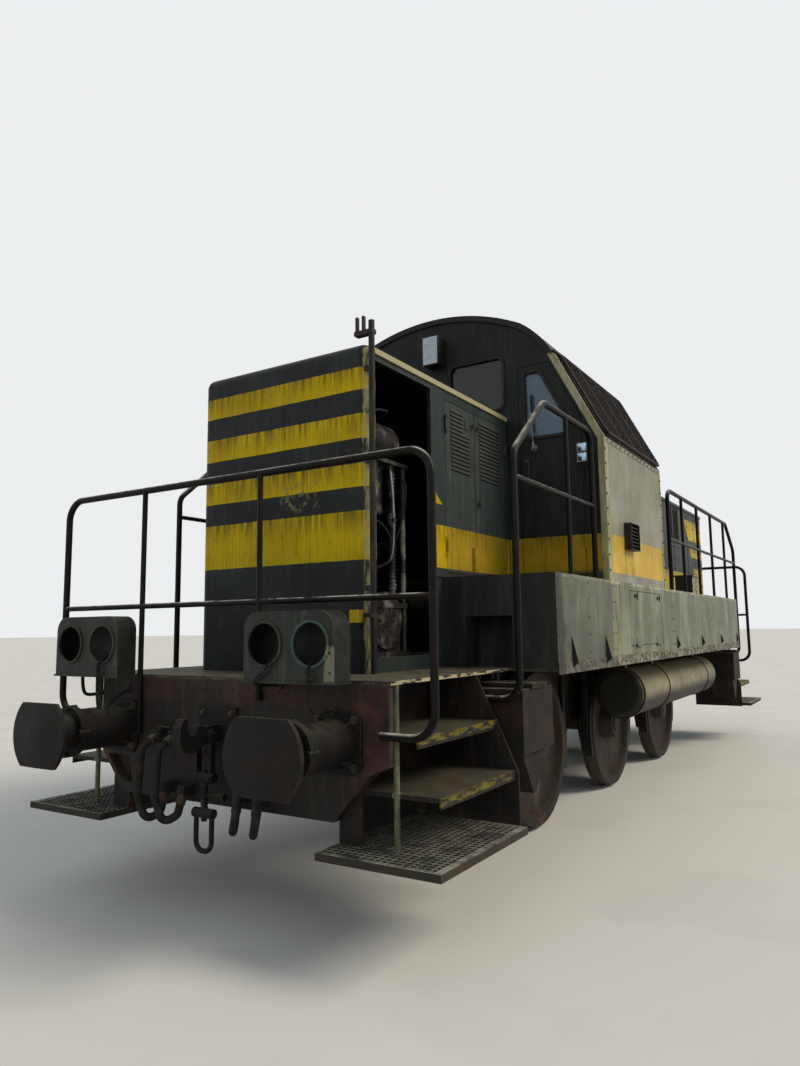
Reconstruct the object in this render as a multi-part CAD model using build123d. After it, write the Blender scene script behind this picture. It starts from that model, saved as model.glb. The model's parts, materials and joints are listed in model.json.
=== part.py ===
from build123d import *

import math
import os

os.makedirs("parts", exist_ok=True)

# Diesel shunting locomotive with three axles, millimetres.
# +X points at the short-hood end, +Y at the left side, +Z up.
# The origin is under the middle of the locomotive, level with the tips of the wheel flanges.
# Heights named ..._Z are measured from that level: RAIL is the top of the rail.

# Running gear
FLANGE_HEIGHT = 28
RAIL = FLANGE_HEIGHT
WHEEL_DIAMETER = 1262
BACK_TO_BACK = 1360
TYRE_WIDTH = 135
FLANGE_THICKNESS = 32
RIM_THICKNESS = 75
WHEEL_WEB = 32
HUB_DIAMETER = 300
HUB_LENGTH = 190
AXLE_DIAMETER = 190
WHEELBASE_HALF = 2050
AXLE_PLACES = {"front": WHEELBASE_HALF, "middle": 0, "rear": -WHEELBASE_HALF}
BEARING_GAP = 0.3

# Lengths along the locomotive
BUFFER_FACE_X = 5585
BEAM_X = 4965
BEAM_THICKNESS = 40
SHORT_HOOD_FRONT_X = 4451
CAB_FRONT_X = 2340
CAB_REAR_X = 560
LONG_HOOD_END_X = -4443
BOX_END_X = 3510

# Half-widths
BODY_HALF = 1575
BEAM_HALF = 1206
SHORT_HOOD_HALF = 728
LONG_HOOD_HALF = 975
FRAME_PLATE_Y = 590
FRAME_PLATE = 30

# Heights
DECK_Z = RAIL + 1377
DECK_THICKNESS = 20
FRAME_BOTTOM_Z = RAIL + 720
BOX_TOP_Z = RAIL + 2011
SKIRT_BOTTOM_Z = RAIL + 1339
EAVE_Z = RAIL + 3174
LEAN_TOP_Z = RAIL + 3954
LEAN_TOP_HALF = 1179
CROWN_Z = RAIL + 4490
SHORT_HOOD_TOP_Z = RAIL + 3482
LONG_HOOD_TOP_Z = RAIL + 3370

# Walls
CAB_WALL = 50
HOOD_WALL = 30
BOX_WALL = 12
SEAT_GAP = 0.3

# Doors
DOOR_GAP = 5
DOOR_THICKNESS = 30
HINGE_RADIUS = 9
HINGE_OUT = 12
HINGE_HALF = 40
HINGE_END = 30
HINGE_STRAP = 70
HINGE_STRAP_THICKNESS = 4

ROUND_TUBE = 22
SMALL_TUBE = 17


def block(x_span, y_span, z_span):
    """Box from its two ends along each axis."""
    sizes = [abs(span[1] - span[0]) for span in (x_span, y_span, z_span)]
    middle = [(span[0] + span[1]) / 2 for span in (x_span, y_span, z_span)]
    return Pos(*middle) * Box(*sizes)


def plate_across(points, x_from, thickness):
    """Flat plate with an outline in Y and Z, thickened towards +X."""
    outline = Plane((x_from, 0, 0), x_dir=(0, 1, 0), z_dir=(1, 0, 0)) * Polyline(*points, close=True)
    return extrude(make_face(outline), amount=thickness, dir=(1, 0, 0))


def plate_along(points, y_to, thickness):
    """Flat plate with an outline in X and Z, thickened from y_to towards -Y."""
    outline = Plane((0, y_to, 0), x_dir=(1, 0, 0), z_dir=(0, -1, 0)) * Polyline(*points, close=True)
    return extrude(make_face(outline), amount=thickness, dir=(0, -1, 0))


def bar_x(radius, x_span, y, z):
    """Round bar along X."""
    return Pos((x_span[0] + x_span[1]) / 2, y, z) * Rot(0, 90, 0) * Cylinder(radius, abs(x_span[1] - x_span[0]))


def bar_y(radius, x, y_span, z):
    """Round bar along Y."""
    return Pos(x, (y_span[0] + y_span[1]) / 2, z) * Rot(90, 0, 0) * Cylinder(radius, abs(y_span[1] - y_span[0]))


def bar_z(radius, x, y, z_span):
    """Round bar along Z."""
    return Pos(x, y, (z_span[0] + z_span[1]) / 2) * Cylinder(radius, abs(z_span[1] - z_span[0]))


def bent_tube(points, radius, bend):
    """Round tube through the points, with its corners bent to one radius."""
    path = FilletPolyline(*points, radius=bend) if len(points) > 2 else Polyline(*points)
    section = Plane(path @ 0, z_dir=path % 0) * Circle(radius)
    return sweep(section, path=path)


def mirrored(shape):
    """The same piece on the other side."""
    return mirror(shape, about=Plane.XZ)


def turned(shape):
    """The same piece at the opposite corner, half a turn about Z."""
    return Rot(0, 0, 180) * shape


def joined(shapes):
    """One solid from touching or crossing pieces."""
    first, *others = shapes
    return first.fuse(*others) if others else first


def solids_of(shapes):
    """Flat list of the solids in a list of shapes."""
    found = []
    for shape in shapes:
        found.extend(shape.solids())
    return found


def hinge(height):
    """Hinge on a flat face, in its own frame: the leaf lies towards +X, the outside towards +Y, the pin along Z.

    Returns the moving knuckle with its strap, and the two fixed end knuckles with their lugs.
    """
    low, high = height - HINGE_HALF, height + HINGE_HALF
    moving = joined([
        bar_z(HINGE_RADIUS, 0, HINGE_OUT, (low, high)),
        block((-HINGE_STRAP_THICKNESS, HINGE_STRAP_THICKNESS), (HINGE_STRAP_THICKNESS - 1, HINGE_OUT), (low, high)),
        block((0, HINGE_STRAP), (1, HINGE_STRAP_THICKNESS), (low, high)),
        block((DOOR_GAP + 1, HINGE_STRAP), (0, HINGE_STRAP_THICKNESS), (low, high)),
    ])
    fixed = []
    below = (low - SEAT_GAP - HINGE_END, low - SEAT_GAP)
    above = (high + SEAT_GAP, high + SEAT_GAP + HINGE_END)
    for start, end in (below, above):
        fixed.append(joined([
            bar_z(HINGE_RADIUS, 0, HINGE_OUT, (start, end)),
            block((-HINGE_RADIUS, 0), (0.5, HINGE_OUT), (start, end)),
            block((-3 * HINGE_RADIUS, -HINGE_STRAP_THICKNESS / 2), (0, HINGE_STRAP_THICKNESS), (start, end)),
        ]))
    return moving, fixed


def write(name, *shapes):
    """Write the solids of one sub-part to its own file."""
    pieces = solids_of(shapes)
    body = pieces[0] if len(pieces) == 1 else Compound(children=pieces)
    export_step(body, f"parts/{name}.step")


# Wheelsets: axle and two wheels are one piece, made round the Y axis.

WHEEL_RADIUS = WHEEL_DIAMETER / 2
AXLE_Z = RAIL + WHEEL_RADIUS
WHEEL_INNER_Y = BACK_TO_BACK / 2
WHEEL_OUTER_Y = WHEEL_INNER_Y + TYRE_WIDTH
HUB_INNER_Y = WHEEL_INNER_Y - 20
HUB_OUTER_Y = HUB_INNER_Y + HUB_LENGTH
WEB_DISH = 25


def wheelset(axle_x):
    rim_inner = WHEEL_RADIUS - RIM_THICKNESS
    web_middle = WHEEL_INNER_Y + TYRE_WIDTH / 2
    hub_radius = HUB_DIAMETER / 2
    tip = WHEEL_RADIUS + FLANGE_HEIGHT
    flange_end = WHEEL_INNER_Y + FLANGE_THICKNESS
    # columns: distance from the middle along Y, radius
    half_outline = [
        (0, 0),
        (0, AXLE_DIAMETER / 2),
        (HUB_INNER_Y, AXLE_DIAMETER / 2),
        (HUB_INNER_Y, hub_radius),
        (web_middle - WEB_DISH - WHEEL_WEB / 2, hub_radius + 20),
        (web_middle - WHEEL_WEB / 2, rim_inner - 20),
        (WHEEL_INNER_Y, rim_inner),
        (WHEEL_INNER_Y, tip - 12),
        (WHEEL_INNER_Y + 8, tip),
        (WHEEL_INNER_Y + 20, tip),
        (flange_end, WHEEL_RADIUS + 4),
        (flange_end + 14, WHEEL_RADIUS),
        (WHEEL_OUTER_Y, WHEEL_RADIUS - 3),
        (WHEEL_OUTER_Y, rim_inner),
        (web_middle + WHEEL_WEB / 2, rim_inner - 20),
        (web_middle - WEB_DISH + WHEEL_WEB / 2, hub_radius + 20),
        (HUB_OUTER_Y, hub_radius - 10),
        (HUB_OUTER_Y, AXLE_DIAMETER / 2),
        (HUB_OUTER_Y + 12, AXLE_DIAMETER / 2 - 15),
        (HUB_OUTER_Y + 12, 0),
    ]
    half = revolve(make_face(Plane.YZ * Polyline(*half_outline, close=True)), axis=Axis.Y)
    return Pos(axle_x, 0, AXLE_Z) * joined([half, mirrored(half)])


for place, axle_x in AXLE_PLACES.items():
    write(f"wheelset_{place}", wheelset(axle_x))

# Main frame: two deep plates inside the wheels, with gaps for the axleboxes, and cross members.

BEAM_BACK_X = BEAM_X - BEAM_THICKNESS
FRAME_TOP_Z = DECK_Z - DECK_THICKNESS
HORN_WIDTH = 340
HORN_TOP_Z = AXLE_Z + 230
HORN_FOOT_Z = RAIL + 380
HORN_CHEEK = 150
PLATE_INNER_Y = FRAME_PLATE_Y - FRAME_PLATE / 2
PLATE_OUTER_Y = FRAME_PLATE_Y + FRAME_PLATE / 2
CROSS_MEMBERS_X = (-4500, -3300, -1350, -700, 700, 1350, 3300, 4500)
CROSS_MEMBER = 24


def frame_plate_outline():
    points = [(-BEAM_BACK_X, FRAME_TOP_Z), (-BEAM_BACK_X, FRAME_BOTTOM_Z)]
    for axle_x in sorted(AXLE_PLACES.values()):
        inner = HORN_WIDTH / 2
        outer = inner + HORN_CHEEK
        points += [
            (axle_x - outer - 150, FRAME_BOTTOM_Z),
            (axle_x - outer, HORN_FOOT_Z),
            (axle_x - inner, HORN_FOOT_Z),
            (axle_x - inner, HORN_TOP_Z),
            (axle_x + inner, HORN_TOP_Z),
            (axle_x + inner, HORN_FOOT_Z),
            (axle_x + outer, HORN_FOOT_Z),
            (axle_x + outer + 150, FRAME_BOTTOM_Z),
        ]
    points += [(BEAM_BACK_X, FRAME_BOTTOM_Z), (BEAM_BACK_X, FRAME_TOP_Z)]
    return points


side_plate = plate_along(frame_plate_outline(), PLATE_OUTER_Y, FRAME_PLATE)
cross_members = [
    block(
        (x - CROSS_MEMBER / 2, x + CROSS_MEMBER / 2), (-PLATE_INNER_Y, PLATE_INNER_Y),
        (FRAME_BOTTOM_Z, FRAME_TOP_Z))
    for x in CROSS_MEMBERS_X
]
SHAFT_RADIUS = 60
SHAFT_Z = AXLE_Z + 200
shaft_passage = bar_x(SHAFT_RADIUS + 40, (-WHEELBASE_HALF, WHEELBASE_HALF), 0, SHAFT_Z)
write("main_frame", joined([side_plate, mirrored(side_plate), *cross_members]) - shaft_passage)

# Deck: one plate over the frame, wide between the side boxes' ends and narrower at the ends.

DECK_UNDER_Z = DECK_Z - DECK_THICKNESS
PLATFORM_HALF = 1219
SIDE_INNER_Y = BODY_HALF - BOX_WALL

deck_plate = joined([
    block((-BEAM_X, BEAM_X), (-PLATFORM_HALF, PLATFORM_HALF), (DECK_UNDER_Z, DECK_Z)),
    block((-BOX_END_X, BOX_END_X), (-SIDE_INNER_Y, SIDE_INNER_Y), (DECK_UNDER_Z, DECK_Z)),
])
write("deck", deck_plate)

# End beams: upright plates with a narrower guard plate below.

BEAM_TOP_Z = DECK_UNDER_Z
BEAM_CORNER_Z = RAIL + 942
GUARD_KNEE = (1077, RAIL + 892)
GUARD_FOOT = (850, RAIL + 632)
BEAM_NOTCH_Y = 980
BEAM_NOTCH_Z = RAIL + 1100
GUARD_WINDOW = [(-1010, RAIL + 860), (-800, RAIL + 860), (-760, RAIL + 690), (-850, RAIL + 690)]


def end_beam():
    half = [
        (BEAM_HALF, BEAM_TOP_Z),
        (BEAM_HALF, BEAM_CORNER_Z),
        GUARD_KNEE,
        GUARD_FOOT,
    ]
    outline = half + [(-y, z) for y, z in reversed(half[1:])]
    outline += [(-BEAM_HALF, BEAM_NOTCH_Z), (-BEAM_NOTCH_Y, BEAM_NOTCH_Z), (-BEAM_NOTCH_Y, BEAM_TOP_Z)]
    plate = plate_across(outline, BEAM_BACK_X, BEAM_THICKNESS)
    window = plate_across(GUARD_WINDOW, BEAM_BACK_X, BEAM_THICKNESS)
    return plate - window


write("end_beams", end_beam(), turned(end_beam()))

# Buffers: base, barrel, plunger and a head with a flat top and bottom.

BUFFER_Y = 875
BUFFER_Z = RAIL + 1050
BUFFER_HEAD_WIDTH = 490
BUFFER_HEAD_HEIGHT = 373
BUFFER_HEAD_EDGE = 22
BUFFER_DOME = 18
BUFFER_BARREL_RADIUS = 128
BUFFER_PLUNGER_RADIUS = 105
BUFFER_COLLAR = 45
BUFFER_COLLAR_OUT = 22
BUFFER_BOLTS = 4
BUFFER_BOLT_RADIUS = 17
BUFFER_BOLT_REACH = 15
BUFFER_BASE = 330
BUFFER_BASE_THICKNESS = 20
BUFFER_BASE_CORNER = 45
BUFFER_RIB = 14
BUFFER_RIB_LENGTH = 95
BUFFER_RIB_HEIGHT = 45


def buffer():
    front = BUFFER_FACE_X - BEAM_X
    barrel_end = front - 210
    collar_start = barrel_end - BUFFER_COLLAR
    rim = front - BUFFER_DOME
    # columns: distance from the beam, radius
    outline = [
        (BUFFER_BASE_THICKNESS, 0),
        (BUFFER_BASE_THICKNESS, BUFFER_BARREL_RADIUS + 12),
        (BUFFER_BASE_THICKNESS + 75, BUFFER_BARREL_RADIUS),
        (collar_start, BUFFER_BARREL_RADIUS),
        (collar_start, BUFFER_BARREL_RADIUS + BUFFER_COLLAR_OUT),
        (barrel_end, BUFFER_BARREL_RADIUS + BUFFER_COLLAR_OUT),
        (barrel_end, BUFFER_PLUNGER_RADIUS),
        (rim - BUFFER_HEAD_EDGE - 40, BUFFER_PLUNGER_RADIUS),
        (rim - BUFFER_HEAD_EDGE, BUFFER_PLUNGER_RADIUS + 50),
        (rim - BUFFER_HEAD_EDGE, BUFFER_HEAD_WIDTH / 2),
        (rim, BUFFER_HEAD_WIDTH / 2),
        (rim + BUFFER_DOME * 0.6, BUFFER_HEAD_WIDTH / 4),
        (front, BUFFER_HEAD_WIDTH / 9),
        (front, 0),
    ]
    turned_part = revolve(make_face(Polyline(*outline, close=True)), axis=Axis.X)
    head_room = block(
        (0, front), (-BUFFER_HEAD_WIDTH, BUFFER_HEAD_WIDTH),
        (-BUFFER_HEAD_HEIGHT / 2, BUFFER_HEAD_HEIGHT / 2))
    base_half = BUFFER_BASE / 2
    base = block((0, BUFFER_BASE_THICKNESS), (-base_half, base_half), (-base_half, base_half))
    base = chamfer(base.edges().filter_by(Axis.X), BUFFER_BASE_CORNER)
    bolt = bar_x(
        BUFFER_BOLT_RADIUS, (collar_start - BUFFER_BOLT_REACH, barrel_end + BUFFER_BOLT_REACH),
        0, BUFFER_BARREL_RADIUS + BUFFER_COLLAR_OUT / 2)
    rib_foot = BUFFER_BARREL_RADIUS - 10
    rib = plate_along(
        [
            (BUFFER_BASE_THICKNESS - 1, rib_foot), (BUFFER_BASE_THICKNESS - 1, rib_foot + BUFFER_RIB_HEIGHT),
            (BUFFER_BASE_THICKNESS + BUFFER_RIB_LENGTH, rib_foot),
        ],
        BUFFER_RIB / 2, BUFFER_RIB)
    bolts = [Rot(360 * n / BUFFER_BOLTS, 0, 0) * bolt for n in range(BUFFER_BOLTS)]
    ribs = [Rot(45 + 90 * n, 0, 0) * rib for n in range(4)]
    return Pos(BEAM_X, BUFFER_Y, BUFFER_Z) * joined([turned_part & head_room, base, *bolts, *ribs])


front_buffers = [buffer(), mirrored(buffer())]
write("buffers", *front_buffers, *[turned(one) for one in front_buffers])

# Draw gear: hook, its base plate and a hanging screw coupling.

HOOK_Z = RAIL + 1050
HOOK_PLATE = 60
HOOK_REACH = 330
COUPLING_X = BEAM_X + 110
COUPLING_LINK_Y = 55
COUPLING_LINK = 18
LINK_EYE_RADIUS = 34
SCREW_TOP_Z = HOOK_Z - 240
SCREW_FOOT_Z = HOOK_Z - 440
SCREW_RADIUS = 17
THREAD_RADIUS = 22
THREAD_PITCH = 18
NUT_RADIUS = 28
SHACKLE_RADIUS = 15
SHACKLE_HALF = 62
SHACKLE_LENGTH = 210
LEVER_REACH = 120


def screw_coupling():
    """Pieces of the screw coupling, hanging from the hook's shank: links, nuts, threaded screw, shackle, lever."""
    pin = bar_y(20, COUPLING_X, (-COUPLING_LINK_Y - 20, COUPLING_LINK_Y + 20), HOOK_Z)
    links = []
    for side in (-1, 1):
        across = (side * COUPLING_LINK_Y - COUPLING_LINK / 2, side * COUPLING_LINK_Y + COUPLING_LINK / 2)
        links.append(block((COUPLING_X - 20, COUPLING_X + 20), across, (SCREW_TOP_Z, HOOK_Z)))
        links += [bar_y(LINK_EYE_RADIUS, COUPLING_X, across, z) for z in (SCREW_TOP_Z, HOOK_Z)]
    nut_y = (-SHACKLE_HALF - 15, SHACKLE_HALF + 15)
    nuts = [bar_y(NUT_RADIUS, COUPLING_X, nut_y, z) for z in (SCREW_TOP_Z, SCREW_FOOT_Z)]
    screw = bar_z(SCREW_RADIUS, COUPLING_X, 0, (SCREW_FOOT_Z - 45, SCREW_TOP_Z + 40))
    turns = int((SCREW_TOP_Z - SCREW_FOOT_Z - 2 * NUT_RADIUS) / THREAD_PITCH)
    thread = [
        bar_z(
            THREAD_RADIUS, COUPLING_X, 0,
            (SCREW_FOOT_Z + NUT_RADIUS + n * THREAD_PITCH, SCREW_FOOT_Z + NUT_RADIUS + (n + 0.5) * THREAD_PITCH))
        for n in range(turns)
    ]
    shackle = bent_tube(
        [
            (COUPLING_X, -SHACKLE_HALF, SCREW_FOOT_Z),
            (COUPLING_X, -SHACKLE_HALF, SCREW_FOOT_Z - SHACKLE_LENGTH),
            (COUPLING_X, SHACKLE_HALF, SCREW_FOOT_Z - SHACKLE_LENGTH),
            (COUPLING_X, SHACKLE_HALF, SCREW_FOOT_Z),
        ],
        SHACKLE_RADIUS, SHACKLE_HALF - 7)
    lever_z = (SCREW_TOP_Z + SCREW_FOOT_Z) / 2
    lever = bar_y(9, COUPLING_X, (0, LEVER_REACH), lever_z)
    knob = bar_y(20, COUPLING_X, (LEVER_REACH - 5, LEVER_REACH + 40), lever_z)
    return [pin, *links, *nuts, screw, *thread, shackle, lever, knob]


def draw_gear():
    shank = block((BEAM_X + 18, BEAM_X + 190), (-HOOK_PLATE / 2, HOOK_PLATE / 2), (HOOK_Z - 50, HOOK_Z + 50))
    base = block((BEAM_X, BEAM_X + 18), (-150, 150), (HOOK_Z - 150, HOOK_Z + 150))
    # columns: distance from the beam, height from the hook's middle
    hook_outline = [
        (150, -60), (230, -95), (300, -80), (HOOK_REACH, -20), (HOOK_REACH, 60), (300, 105),
        (272, 105), (278, 50), (255, 12), (215, 12), (195, 60), (150, 60),
    ]
    hook = plate_along([(BEAM_X + x, HOOK_Z + z) for x, z in hook_outline], HOOK_PLATE / 2, HOOK_PLATE)
    return joined([base, shank, hook, *screw_coupling()])


write("draw_gear", draw_gear(), turned(draw_gear()))

# Air hoses: a cock on the beam, a rubber hose and its end held in a dummy holder.

HOSE_RADIUS = 24
HOSE_TOP_Z = RAIL + 1010
HOSE_COCKS_Y = (-480, -330, 330, 480)


def air_hoses():
    pieces = []
    for y in HOSE_COCKS_Y:
        inward = -1 if y > 0 else 1
        cock = block((BEAM_X, BEAM_X + 70), (y - 35, y + 35), (HOSE_TOP_Z - 35, HOSE_TOP_Z + 35))
        holder_y = y + inward * 110
        holder = block((BEAM_X, BEAM_X + 90), (holder_y - 30, holder_y + 30), (HOSE_TOP_Z - 330, HOSE_TOP_Z - 270))
        route = [
            (BEAM_X + 60, y, HOSE_TOP_Z),
            (BEAM_X + 170, y, HOSE_TOP_Z - 60),
            (BEAM_X + 190, y, HOSE_TOP_Z - 330),
            (BEAM_X + 170, y + inward * 50, HOSE_TOP_Z - 480),
            (BEAM_X + 100, y + inward * 100, HOSE_TOP_Z - 440),
            (BEAM_X + 70, y + inward * 110, HOSE_TOP_Z - 310),
        ]
        pieces.append(joined([bent_tube(route, HOSE_RADIUS, 45), cock, holder]))
    return pieces


write("air_hoses", *air_hoses(), *[turned(one) for one in air_hoses()])

# Lamp boxes: twin boxes with two empty lamp holes, on shelves in front of the platform edge.

LAMP_BOX_WIDTH = 620
LAMP_BOX_BACK_X = BEAM_X + 65
LAMP_BOX_FRONT_X = BEAM_X + 207
LAMP_BOX_TOP_Z = RAIL + 1750
LAMP_BOX_MIDDLES = (695, -998)
LAMP_SPACING = 320
LAMP_HOLE_RADIUS = 112
LAMP_HOLE_Z = RAIL + 1574
LAMP_CORNER = 95
LAMP_WALL = 6
LAMP_SHELF = 12
LAMP_BRACKET_Y = 180
REFLECTOR_RADIUS = 96
REFLECTOR_DEPTH = 30
REFLECTOR_BACK_X = LAMP_BOX_FRONT_X - 110
REFLECTOR_STUB_RADIUS = 22


def lamp_box(middle):
    body = block(
        (LAMP_BOX_BACK_X, LAMP_BOX_FRONT_X),
        (middle - LAMP_BOX_WIDTH / 2, middle + LAMP_BOX_WIDTH / 2),
        (DECK_Z, LAMP_BOX_TOP_Z),
    )
    top_edges = body.edges().filter_by(Axis.X).sort_by(Axis.Z)[-2:]
    body = fillet(top_edges, LAMP_CORNER)
    hollow = block(
        (LAMP_BOX_BACK_X + LAMP_WALL, LAMP_BOX_FRONT_X - LAMP_WALL),
        (middle - LAMP_BOX_WIDTH / 2 + LAMP_WALL, middle + LAMP_BOX_WIDTH / 2 - LAMP_WALL),
        (DECK_Z + LAMP_WALL, LAMP_BOX_TOP_Z - LAMP_WALL),
    )
    hollow = fillet(hollow.edges().filter_by(Axis.X).sort_by(Axis.Z)[-2:], LAMP_CORNER - LAMP_WALL)
    body -= hollow
    rings = []
    for side in (-1, 1):
        y = middle + side * LAMP_SPACING / 2
        body -= bar_x(LAMP_HOLE_RADIUS, (LAMP_BOX_FRONT_X - 40, LAMP_BOX_FRONT_X + 20), y, LAMP_HOLE_Z)
        ring = bar_x(LAMP_HOLE_RADIUS + 14, (LAMP_BOX_FRONT_X, LAMP_BOX_FRONT_X + 10), y, LAMP_HOLE_Z)
        rings.append(ring - bar_x(LAMP_HOLE_RADIUS, (LAMP_BOX_FRONT_X - 5, LAMP_BOX_FRONT_X + 20), y, LAMP_HOLE_Z))
    shelf = block(
        (LAMP_BOX_BACK_X, LAMP_BOX_FRONT_X + 8),
        (middle - LAMP_BOX_WIDTH / 2 - 8, middle + LAMP_BOX_WIDTH / 2 + 8),
        (DECK_Z - LAMP_SHELF, DECK_Z),
    )
    brackets = [
        block(
            (BEAM_X, LAMP_BOX_BACK_X),
            (middle + side * LAMP_BRACKET_Y - 20, middle + side * LAMP_BRACKET_Y + 20),
            (DECK_Z - LAMP_SHELF, DECK_Z))
        for side in (-1, 1)
    ]
    return joined([body, shelf, *brackets, *rings])


def reflector():
    """Dished reflector on a stub from the box's back wall."""
    dish = [
        (0, 0), (0, REFLECTOR_STUB_RADIUS + 15), (REFLECTOR_DEPTH, REFLECTOR_RADIUS),
        (REFLECTOR_DEPTH, REFLECTOR_RADIUS - 5),
        (8, REFLECTOR_STUB_RADIUS + 8), (8, 0),
    ]
    shape = Pos(REFLECTOR_BACK_X, 0, 0) * revolve(make_face(Polyline(*dish, close=True)), axis=Axis.X)
    stub = bar_x(REFLECTOR_STUB_RADIUS, (LAMP_BOX_BACK_X + 1, REFLECTOR_BACK_X + 1), 0, 0)
    return Pos(0, LAMP_BOX_MIDDLES[1] + LAMP_SPACING / 2, LAMP_HOLE_Z) * joined([shape, stub])


front_lamp_boxes = [lamp_box(middle) for middle in LAMP_BOX_MIDDLES]
rear_lamp_boxes = [turned(one) for one in front_lamp_boxes]
front_lamp_boxes[1] = joined([front_lamp_boxes[1], reflector()])
write("lamp_boxes", *front_lamp_boxes, *rear_lamp_boxes)

# End handrails: a wide hoop with a lower rail and two posts.

END_RAIL_X = BEAM_X + ROUND_TUBE
END_RAIL_HALF = 1491
END_RAIL_TOP_Z = RAIL + 2575
END_RAIL_LOW_Z = RAIL + 1813
END_RAIL_FOOT_Z = RAIL + 1100
END_RAIL_BEND = 140
# columns: place along Y, height of the lower end
END_POSTS = [(-690, RAIL + 1000), (325, RAIL + 1250)]
END_RAIL_HOOK_Y = BEAM_HALF - 40


def end_rail():
    hoop = bent_tube(
        [
            (END_RAIL_X, -END_RAIL_HOOK_Y, END_RAIL_FOOT_Z),
            (END_RAIL_X, -END_RAIL_HALF, END_RAIL_FOOT_Z),
            (END_RAIL_X, -END_RAIL_HALF, END_RAIL_TOP_Z),
            (END_RAIL_X, END_RAIL_HALF, END_RAIL_TOP_Z),
            (END_RAIL_X, END_RAIL_HALF, END_RAIL_FOOT_Z),
            (END_RAIL_X, END_RAIL_HOOK_Y, END_RAIL_FOOT_Z),
        ],
        ROUND_TUBE, END_RAIL_BEND)
    lower = bar_y(SMALL_TUBE, END_RAIL_X, (-END_RAIL_HALF, END_RAIL_HALF), END_RAIL_LOW_Z)
    posts = [bar_z(SMALL_TUBE, END_RAIL_X, y, (END_RAIL_TOP_Z, foot)) for y, foot in END_POSTS]
    feet = [block((BEAM_X, END_RAIL_X), (y - 12, y + 12), (foot, foot + 60)) for y, foot in END_POSTS]
    return joined([hoop, lower, *posts, *feet])


write("end_rails", end_rail(), turned(end_rail()))

# Side handrails beside the hoods, on top of the side boxes.

SIDE_RAIL_Y = BODY_HALF - 75
SIDE_RAIL_BEND = 120
NEAR_RAIL_TOP_Z = RAIL + 3190
NEAR_RAIL_KNEE_Z = RAIL + 2747
NEAR_RAIL_MID_Z = RAIL + 2590
NEAR_RAIL_FRONT_X = 3968
NEAR_RAIL_BACK_X = 2436
STEP_POST_FOOT_Z = RAIL + 1214
FAR_RAIL_TOP_Z = RAIL + 3090
FAR_RAIL_MID_Z = RAIL + 2560
FAR_RAIL_POSTS_X = (-680, -1490, -2330, -3230)
FAR_RAIL_START_X = -40
RAIL_FOOT_Y = 1180
RAIL_CLIP_Y = (1190, 1240)


def near_side_rail():
    loop = bent_tube(
        [
            (NEAR_RAIL_FRONT_X, RAIL_FOOT_Y, STEP_POST_FOOT_Z),
            (NEAR_RAIL_FRONT_X, SIDE_RAIL_Y, STEP_POST_FOOT_Z),
            (NEAR_RAIL_FRONT_X, SIDE_RAIL_Y, NEAR_RAIL_KNEE_Z),
            (NEAR_RAIL_FRONT_X - 534, SIDE_RAIL_Y, NEAR_RAIL_TOP_Z),
            (NEAR_RAIL_BACK_X, SIDE_RAIL_Y, NEAR_RAIL_TOP_Z),
            (NEAR_RAIL_BACK_X, SIDE_RAIL_Y, BOX_TOP_Z),
        ],
        ROUND_TUBE, SIDE_RAIL_BEND)
    middle = bar_x(SMALL_TUBE, (NEAR_RAIL_BACK_X, NEAR_RAIL_FRONT_X), SIDE_RAIL_Y, NEAR_RAIL_MID_Z)
    post = bar_z(SMALL_TUBE, 3000, SIDE_RAIL_Y, (BOX_TOP_Z, NEAR_RAIL_TOP_Z))
    clip = block(
        (NEAR_RAIL_FRONT_X, NEAR_RAIL_FRONT_X + ROUND_TUBE), RAIL_CLIP_Y,
        (STEP_POST_FOOT_Z - 12, STEP_POST_FOOT_Z + 12))
    return joined([loop, middle, post, clip])


def far_side_rail():
    loop = bent_tube(
        [
            (FAR_RAIL_START_X, SIDE_RAIL_Y, BOX_TOP_Z),
            (FAR_RAIL_START_X, SIDE_RAIL_Y, FAR_RAIL_TOP_Z),
            (-NEAR_RAIL_FRONT_X + 534, SIDE_RAIL_Y, FAR_RAIL_TOP_Z),
            (-NEAR_RAIL_FRONT_X, SIDE_RAIL_Y, NEAR_RAIL_KNEE_Z),
            (-NEAR_RAIL_FRONT_X, SIDE_RAIL_Y, STEP_POST_FOOT_Z),
            (-NEAR_RAIL_FRONT_X, RAIL_FOOT_Y, STEP_POST_FOOT_Z),
        ],
        ROUND_TUBE, SIDE_RAIL_BEND)
    middle = bar_x(SMALL_TUBE, (-NEAR_RAIL_FRONT_X, FAR_RAIL_START_X), SIDE_RAIL_Y, FAR_RAIL_MID_Z)
    posts = [bar_z(SMALL_TUBE, x, SIDE_RAIL_Y, (BOX_TOP_Z, FAR_RAIL_TOP_Z)) for x in FAR_RAIL_POSTS_X]
    clip = block(
        (-NEAR_RAIL_FRONT_X - ROUND_TUBE, -NEAR_RAIL_FRONT_X), RAIL_CLIP_Y,
        (STEP_POST_FOOT_Z - 12, STEP_POST_FOOT_Z + 12))
    return joined([loop, middle, *posts, clip])


left_rails = [near_side_rail(), far_side_rail()]
write("side_rails", *left_rails, *[mirrored(one) for one in left_rails])

# Corner steps: two treads between hanging side plates, a grating below and a pole at the corner.

STEP_FRONT_X = 4905
STEP_BACK_X = 3990
STEP_INNER_Y = 850
STEP_PLATE = 12
GRATING_TOP_Z = RAIL + 520
GRATING_DEPTH = 40
GRATING_X = (4120, 5130)
GRATING_Y = (850, 1590)
TREADS = [(RAIL + 806, 1470), (RAIL + 1091, 1340)]
TREAD_THICKNESS = 25
NOSING = 10
NOSING_DROP = 55
GRATING_BAR = 6
GRATING_PITCH = 41
POLE_RADIUS = 16


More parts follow.
